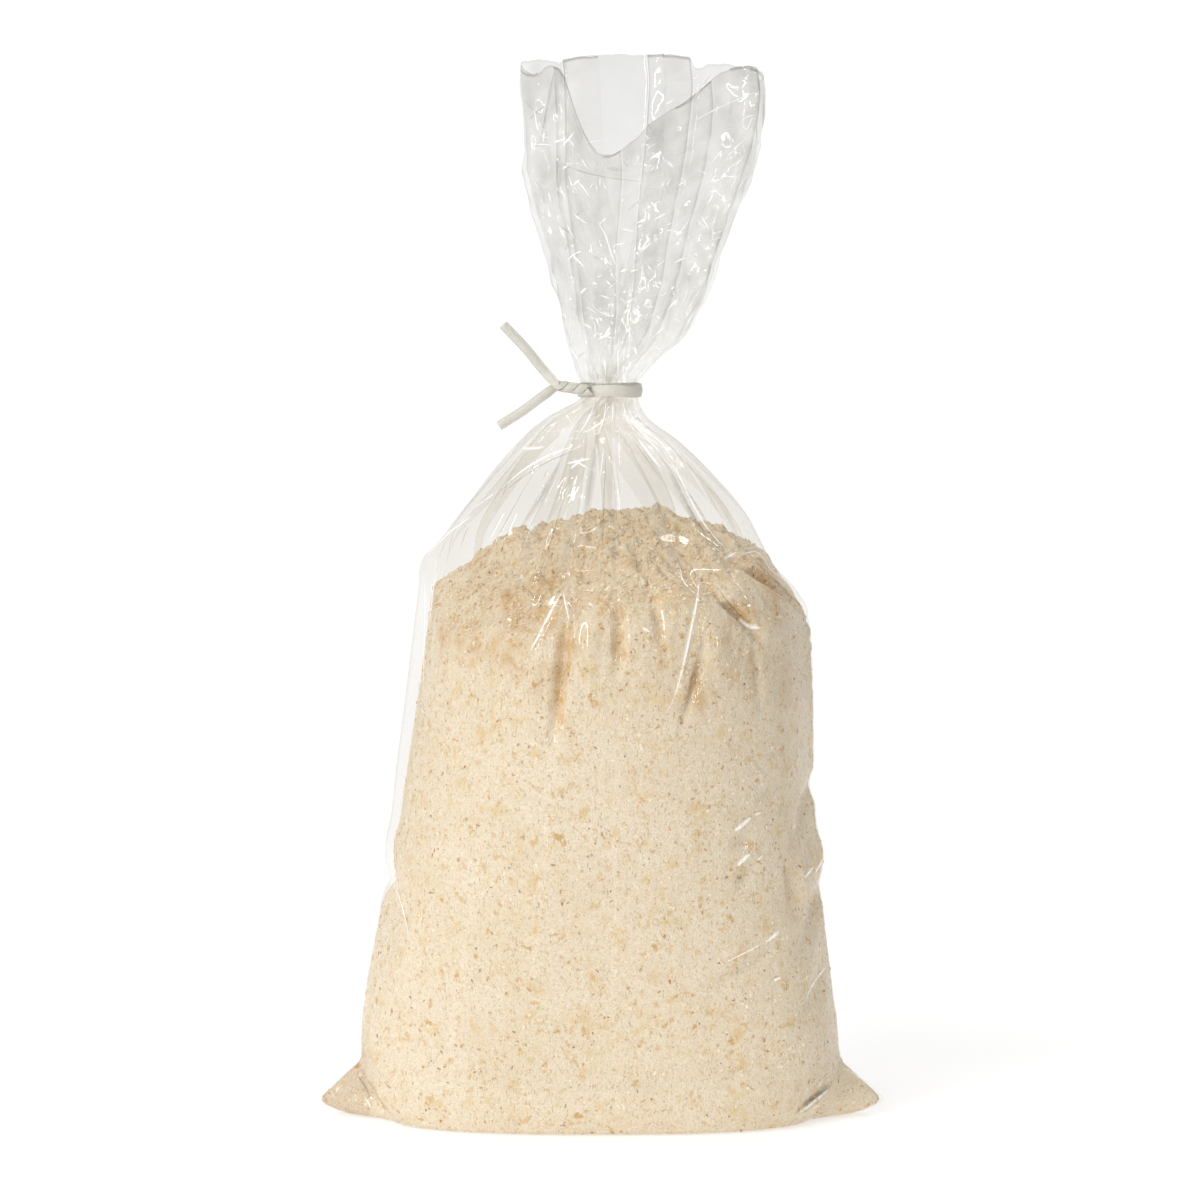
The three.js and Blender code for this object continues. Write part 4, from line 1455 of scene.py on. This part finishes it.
# Painted shade on the left ear.
EAR_PAINTED_SHADE = (0.88, 0.87, 0.9, 1)
# The crumbs' cells: share of them, colour.
CRUMB_TONES = [
    (0.0, (236, 218, 188)),
    (0.25, (242, 226, 199)),
    (0.7, (245, 231, 206)),
    (1.0, (250, 241, 222)),
]
# Patches in the crumbs: scale, low, high, amount, colour.
CRUMB_PATCHES = [
    (60, 0.42, 0.7, 0.3, (232, 210, 174)),
    (190, 0.56, 0.72, 0.7, (232, 200, 134)),
    (330, 0.6, 0.7, 0.7, (223, 182, 110)),
    (250, 0.64, 0.71, 0.9, (214, 170, 98)),
    (560, 0.64, 0.72, 0.75, (186, 138, 94)),
]
# Streaks in them: slant, low, amount, colour.
CRUMB_STREAKS = [(0.9, 0.64, 0.5, (208, 166, 106)), (-0.6, 0.66, 0.5, (176, 142, 110))]


def crumb_material():
    """Fine pale crumbs: faint cells, soft warm patches, and thin slanting flakes."""
    material, tree, shader, places = new_material(
        "fine_crumbs", Roughness=0.9, Specular_IOR_Level=0.2
    )
    cells = add(tree, "ShaderNodeTexVoronoi", Scale=2300.0, Randomness=1.0)
    tree.links.new(places, cells.inputs["Vector"])
    pick = add(tree, "ShaderNodeSeparateColor")
    tree.links.new(cells.outputs["Color"], pick.inputs["Color"])
    stops = [(position, linear(*tone)) for position, tone in CRUMB_TONES]
    colour = ramp(tree, pick.outputs["Red"], stops)
    for *sizes, tone in CRUMB_PATCHES:
        colour = blended(tree, patches(tree, places, *sizes), colour, linear(*tone))
    for *sizes, tone in CRUMB_STREAKS:
        colour = blended(tree, streaks(tree, places, *sizes), colour, linear(*tone))
    # Warmer where the crumbs lie loose, with painted shade in furrows, a pocket and on the ears.
    for name, tint in (("loose", LOOSE_AND_SHADE_TINT), ("shade", EAR_PAINTED_SHADE)):
        colour = blended(tree, attribute(tree, name), colour, tint, "MULTIPLY")
    tree.links.new(colour, shader.inputs["Base Color"])
    bumped(tree, shader, cells.outputs["Distance"], 0.4, 0.0003, invert=True)
    return material


def mottled_material(name, dark, light, scale, detail, **settings):
    """Plain stuff from a darker to a lighter tone, and the pattern that it varies by."""
    material, tree, shader, places = new_material(name, **settings)
    pattern = noise(tree, places, scale, detail)
    colour = ramp(tree, pattern, [(0.35, linear(*dark)), (0.65, linear(*light))])
    tree.links.new(colour, shader.inputs["Base Color"])
    return material, tree, shader, pattern


def grain_material(name, dark, light):
    return mottled_material(
        name, dark, light, 420.0, 3.0, Roughness=0.85, Specular_IOR_Level=0.25
    )[0]


def tie_material():
    """Off-white plastic strip, a little grey and slightly shiny, with a faint grain."""
    material, tree, shader, pattern = mottled_material(
        "tie_strip", (221, 217, 205), (227, 223, 212), 900.0, 4.0, Roughness=0.42
    )
    bumped(tree, shader, pattern, 0.06, 0.0002)
    return material


def film_material(name, tints, edge_gloss):
    """Clear film: nearly all light goes through, and gloss grows towards grazing angles."""
    material, tree, shader, places = new_material(
        name, Base_Color=(0.92, 0.92, 0.91, 1), Metallic=1.0, Roughness=0.05
    )
    facets = add(tree, "ShaderNodeTexVoronoi", Scale=190.0, Randomness=1.0)
    tree.links.new(places, facets.inputs["Vector"])
    fine = noise(tree, places, 420.0, 3.0)
    relief = calculated(tree, "MULTIPLY_ADD", fine, 0.12, facets.outputs["Distance"])
    amount = calculated(tree, "MULTIPLY", relief, attribute(tree, "crinkle"))
    normal = bumped(tree, shader, amount, 0.25, 0.001)
    thin, veiled = tints
    tint = ramp(tree, attribute(tree, "veil"), [(0.0, thin), (0.4, veiled), (1.0, RIM_TINT)])
    clear = add(tree, "ShaderNodeBsdfTransparent")
    tree.links.new(tint, clear.inputs["Color"])
    slant = add(tree, "ShaderNodeLayerWeight", Blend=0.5)
    tree.links.new(normal, slant.inputs["Normal"])
    steep = calculated(tree, "POWER", slant.outputs["Facing"], 4.0)
    gloss = add(tree, "ShaderNodeMapRange", To_Min=FACING_GLOSS, To_Max=edge_gloss)
    tree.links.new(steep, gloss.inputs["Value"])
    partly_clear(tree, clear, shader, gloss.outputs["Result"])
    return material


def solid_share(tree, places, scale):
    """How solid a strip on the film is: along its ridge, and less so in patches."""
    uneven = patches(tree, places, scale, 0.2, 0.5, 1.0)
    return calculated(tree, "MULTIPLY", attribute(tree, "solid"), uneven)


def painted_highlight_material():
    """Painted highlight: film pinched into a bright white line that glows a little, solid along its
    ridge, fading to its edges.
    """
    material, tree, shader, places = new_material(
        "film_highlight_paint",
        Base_Color=(0.96, 0.96, 0.955, 1),
        Roughness=0.25,
        Emission_Color=WHITE,
        Emission_Strength=PAINTED_HIGHLIGHT_GLOW,
    )
    clear = add(tree, "ShaderNodeBsdfTransparent")
    partly_clear(tree, clear, shader, solid_share(tree, places, 700))
    return material


def fold_and_shade_material():
    """Film folded on itself, where a little less light goes through than beside it, and painted shade
    in creases and beside the painted highlights.
    """
    material, tree, _, places = new_material("film_fold_and_shade")
    tint = ramp(tree, solid_share(tree, places, 300), [(0.0, WHITE), (1.0, FOLD_AND_SHADE_TINT)])
    clear = add(tree, "ShaderNodeBsdfTransparent")
    tree.links.new(tint, clear.inputs["Color"])
    show(tree, clear.outputs[0])
    return material


def floor_material():
    material, tree, shader, places = new_material(
        "pale_floor",
        Roughness=0.9,
        Specular_IOR_Level=0.1,
        Emission_Color=WHITE,
        Emission_Strength=FLOOR_GLOW,
    )
    stops = [(0.3, linear(195, 195, 195)), (0.7, linear(198, 198, 198))]
    colour = ramp(tree, noise(tree, places, 3.0, 2.0), stops)
    tree.links.new(colour, shader.inputs["Base Color"])
    return material


# ---- Camera, floor and light ----

BACKDROP = 1.06  # as bright as the floor, so that no horizon shows through the film
REFLECTED_SURROUNDINGS = 0.85
SURROUNDINGS = 0.12  # as light on the bag
FLOOR_GLOW = 0.54
FLOOR_RADIUS = 1200.0
FLOOR_CORNERS = 96
LENS_SENSOR = 36
LIT_POINT = Vector((0, 0, 0.15))
# Name, direction that it comes from, strength, spread in degrees.
SUNS = [
    ("overhead", (0.0, 0.15, 1.0), 0.42, 70),
    ("front_left", (-0.85, -0.97, 0.75), 0.475, 50),
    ("behind", (0.25, 1.0, 0.15), 0.25, 60),
]
# Narrow lights for the film to reflect: name, place, width and height in m, power.
STRIPS = [
    ("strip_left", (-1.1, -1.5, 0.85), (0.08, 1.2), 5),
    ("strip_right", (1.5, -1.2, 0.85), (0.05, 1.1), 2.6),
    ("strip_top", (0.1, -0.7, 1.9), (0.5, 0.03), 0.4),
    ("strip_top_left", (-0.95, 0.0, 1.75), (0.04, 0.8), 1.4),
    ("strip_top_right", (0.95, 0.0, 1.75), (0.04, 0.8), 1.4),
]


def turned(direction, axis):
    """The rotation that turns an axis of an object to a direction."""
    return direction.to_track_quat(axis, "Y").to_euler()


def make_camera():
    tilt = math.radians(CAMERA_ELEVATION)
    aim = Vector((0, 0, (FLOOR_PIXEL - PHOTO_MIDDLE) * PHOTO_MM / math.cos(tilt)))
    back = Vector((0, -math.cos(tilt), math.sin(tilt))) * CAMERA_DISTANCE
    data = bpy.data.cameras.new("camera")
    data.sensor_width = LENS_SENSOR
    data.lens = LENS_SENSOR * CAMERA_DISTANCE / (PHOTO_PIXELS * PHOTO_MM)
    data.clip_start = 0.05
    data.clip_end = 60
    camera = add_object("camera", data)
    camera.location = (aim + back) * MM
    camera.rotation_euler = turned(-back, "-Z")
    bpy.context.scene.camera = camera


def make_strip(name, location, size, power):
    """A narrow soft light that faces the middle of the bag."""
    data = bpy.data.lights.new(name, "AREA")
    data.shape = "RECTANGLE"
    data.size, data.size_y = size
    data.energy = power
    light = add_object(name, data)
    light.location = location
    light.rotation_euler = turned(LIT_POINT - light.location, "-Z")


def make_sun(name, towards, strength, spread):
    """Soft light from one side, the same all over the floor, which the film doesn't reflect."""
    data = bpy.data.lights.new(name, "SUN")
    data.energy = strength * math.pi
    data.angle = math.radians(spread)
    light = add_object(name, data)
    light.location = towards
    light.visible_glossy = False
    light.rotation_euler = turned(Vector(towards), "Z")


def make_floor():
    turn = np.linspace(0, 2 * np.pi, FLOOR_CORNERS, endpoint=False)
    ring = np.stack([np.cos(turn), np.sin(turn), np.zeros_like(turn)], axis=1) * FLOOR_RADIUS
    face = list(range(FLOOR_CORNERS))
    floor = mesh_piece("floor", ring, [face], floor_material(), smooth=False)


def make_world():
    """White surroundings that light the bag more softly than they look."""
    world = bpy.data.worlds.new("studio")
    bpy.context.scene.world = world
    world.use_nodes = True
    tree = world.node_tree
    shown = tree.nodes["Background"]
    set_inputs(shown, {"Color": WHITE, "Strength": BACKDROP})
    rays = add(tree, "ShaderNodeLightPath")
    seen_by = {"Is Glossy Ray": REFLECTED_SURROUNDINGS, "Is Diffuse Ray": SURROUNDINGS}
    for ray, strength in seen_by.items():
        dim = add(tree, "ShaderNodeBackground", Color=WHITE, Strength=strength)
        mixed = add(tree, "ShaderNodeMixShader")
        tree.links.new(rays.outputs[ray], mixed.inputs["Fac"])
        tree.links.new(shown.outputs[0], mixed.inputs[1])
        tree.links.new(dim.outputs[0], mixed.inputs[2])
        shown = mixed
    tree.links.new(shown.outputs[0], tree.nodes["World Output"].inputs["Surface"])


make_camera()
make_floor()
make_world()
for sun in SUNS:
    make_sun(*sun)
for strip in STRIPS:
    make_strip(*strip)

film = film_tree([
    make_body_film(film_material("film_over_crumbs", WARM_FILM, 0.5)),
    make_mouth_film(film_material("film_of_mouth", NEUTRAL_FILM, 0.55)),
])
# Painted highlights: white glowing strips on creases, where the photograph shows them and at random
# places.
glints = shown_ribbons(film, SHOULDER_GLINTS + CRUMB_GLINTS + MOUTH_GLINTS)
for scatter in SCATTERED:
    glints += scattered_highlights(film, *scatter)
make_ribbons("film_painted_highlights", glints, painted_highlight_material())
# Fold lines: partly the film's doubled layers, partly painted shade.
make_ribbons("film_folds_and_shade", shown_ribbons(film, FOLD_AND_SHADE_LINES), fold_and_shade_material())
core = make_core(crumb_material())
for number, (name, count, short, long, wide, thick, on_heap, *tones) in enumerate(GRAINS):
    material = grain_material(f"{name}_colour", *tones)
    seed = GRAIN_SEED + number
    make_grains(core, seed, name, count, (short, long), (wide, thick), on_heap, material)
make_tie(tie_material())

scene = bpy.context.scene
scene.view_settings.view_transform = "Standard"
scene.cycles.transparent_max_bounces = 64
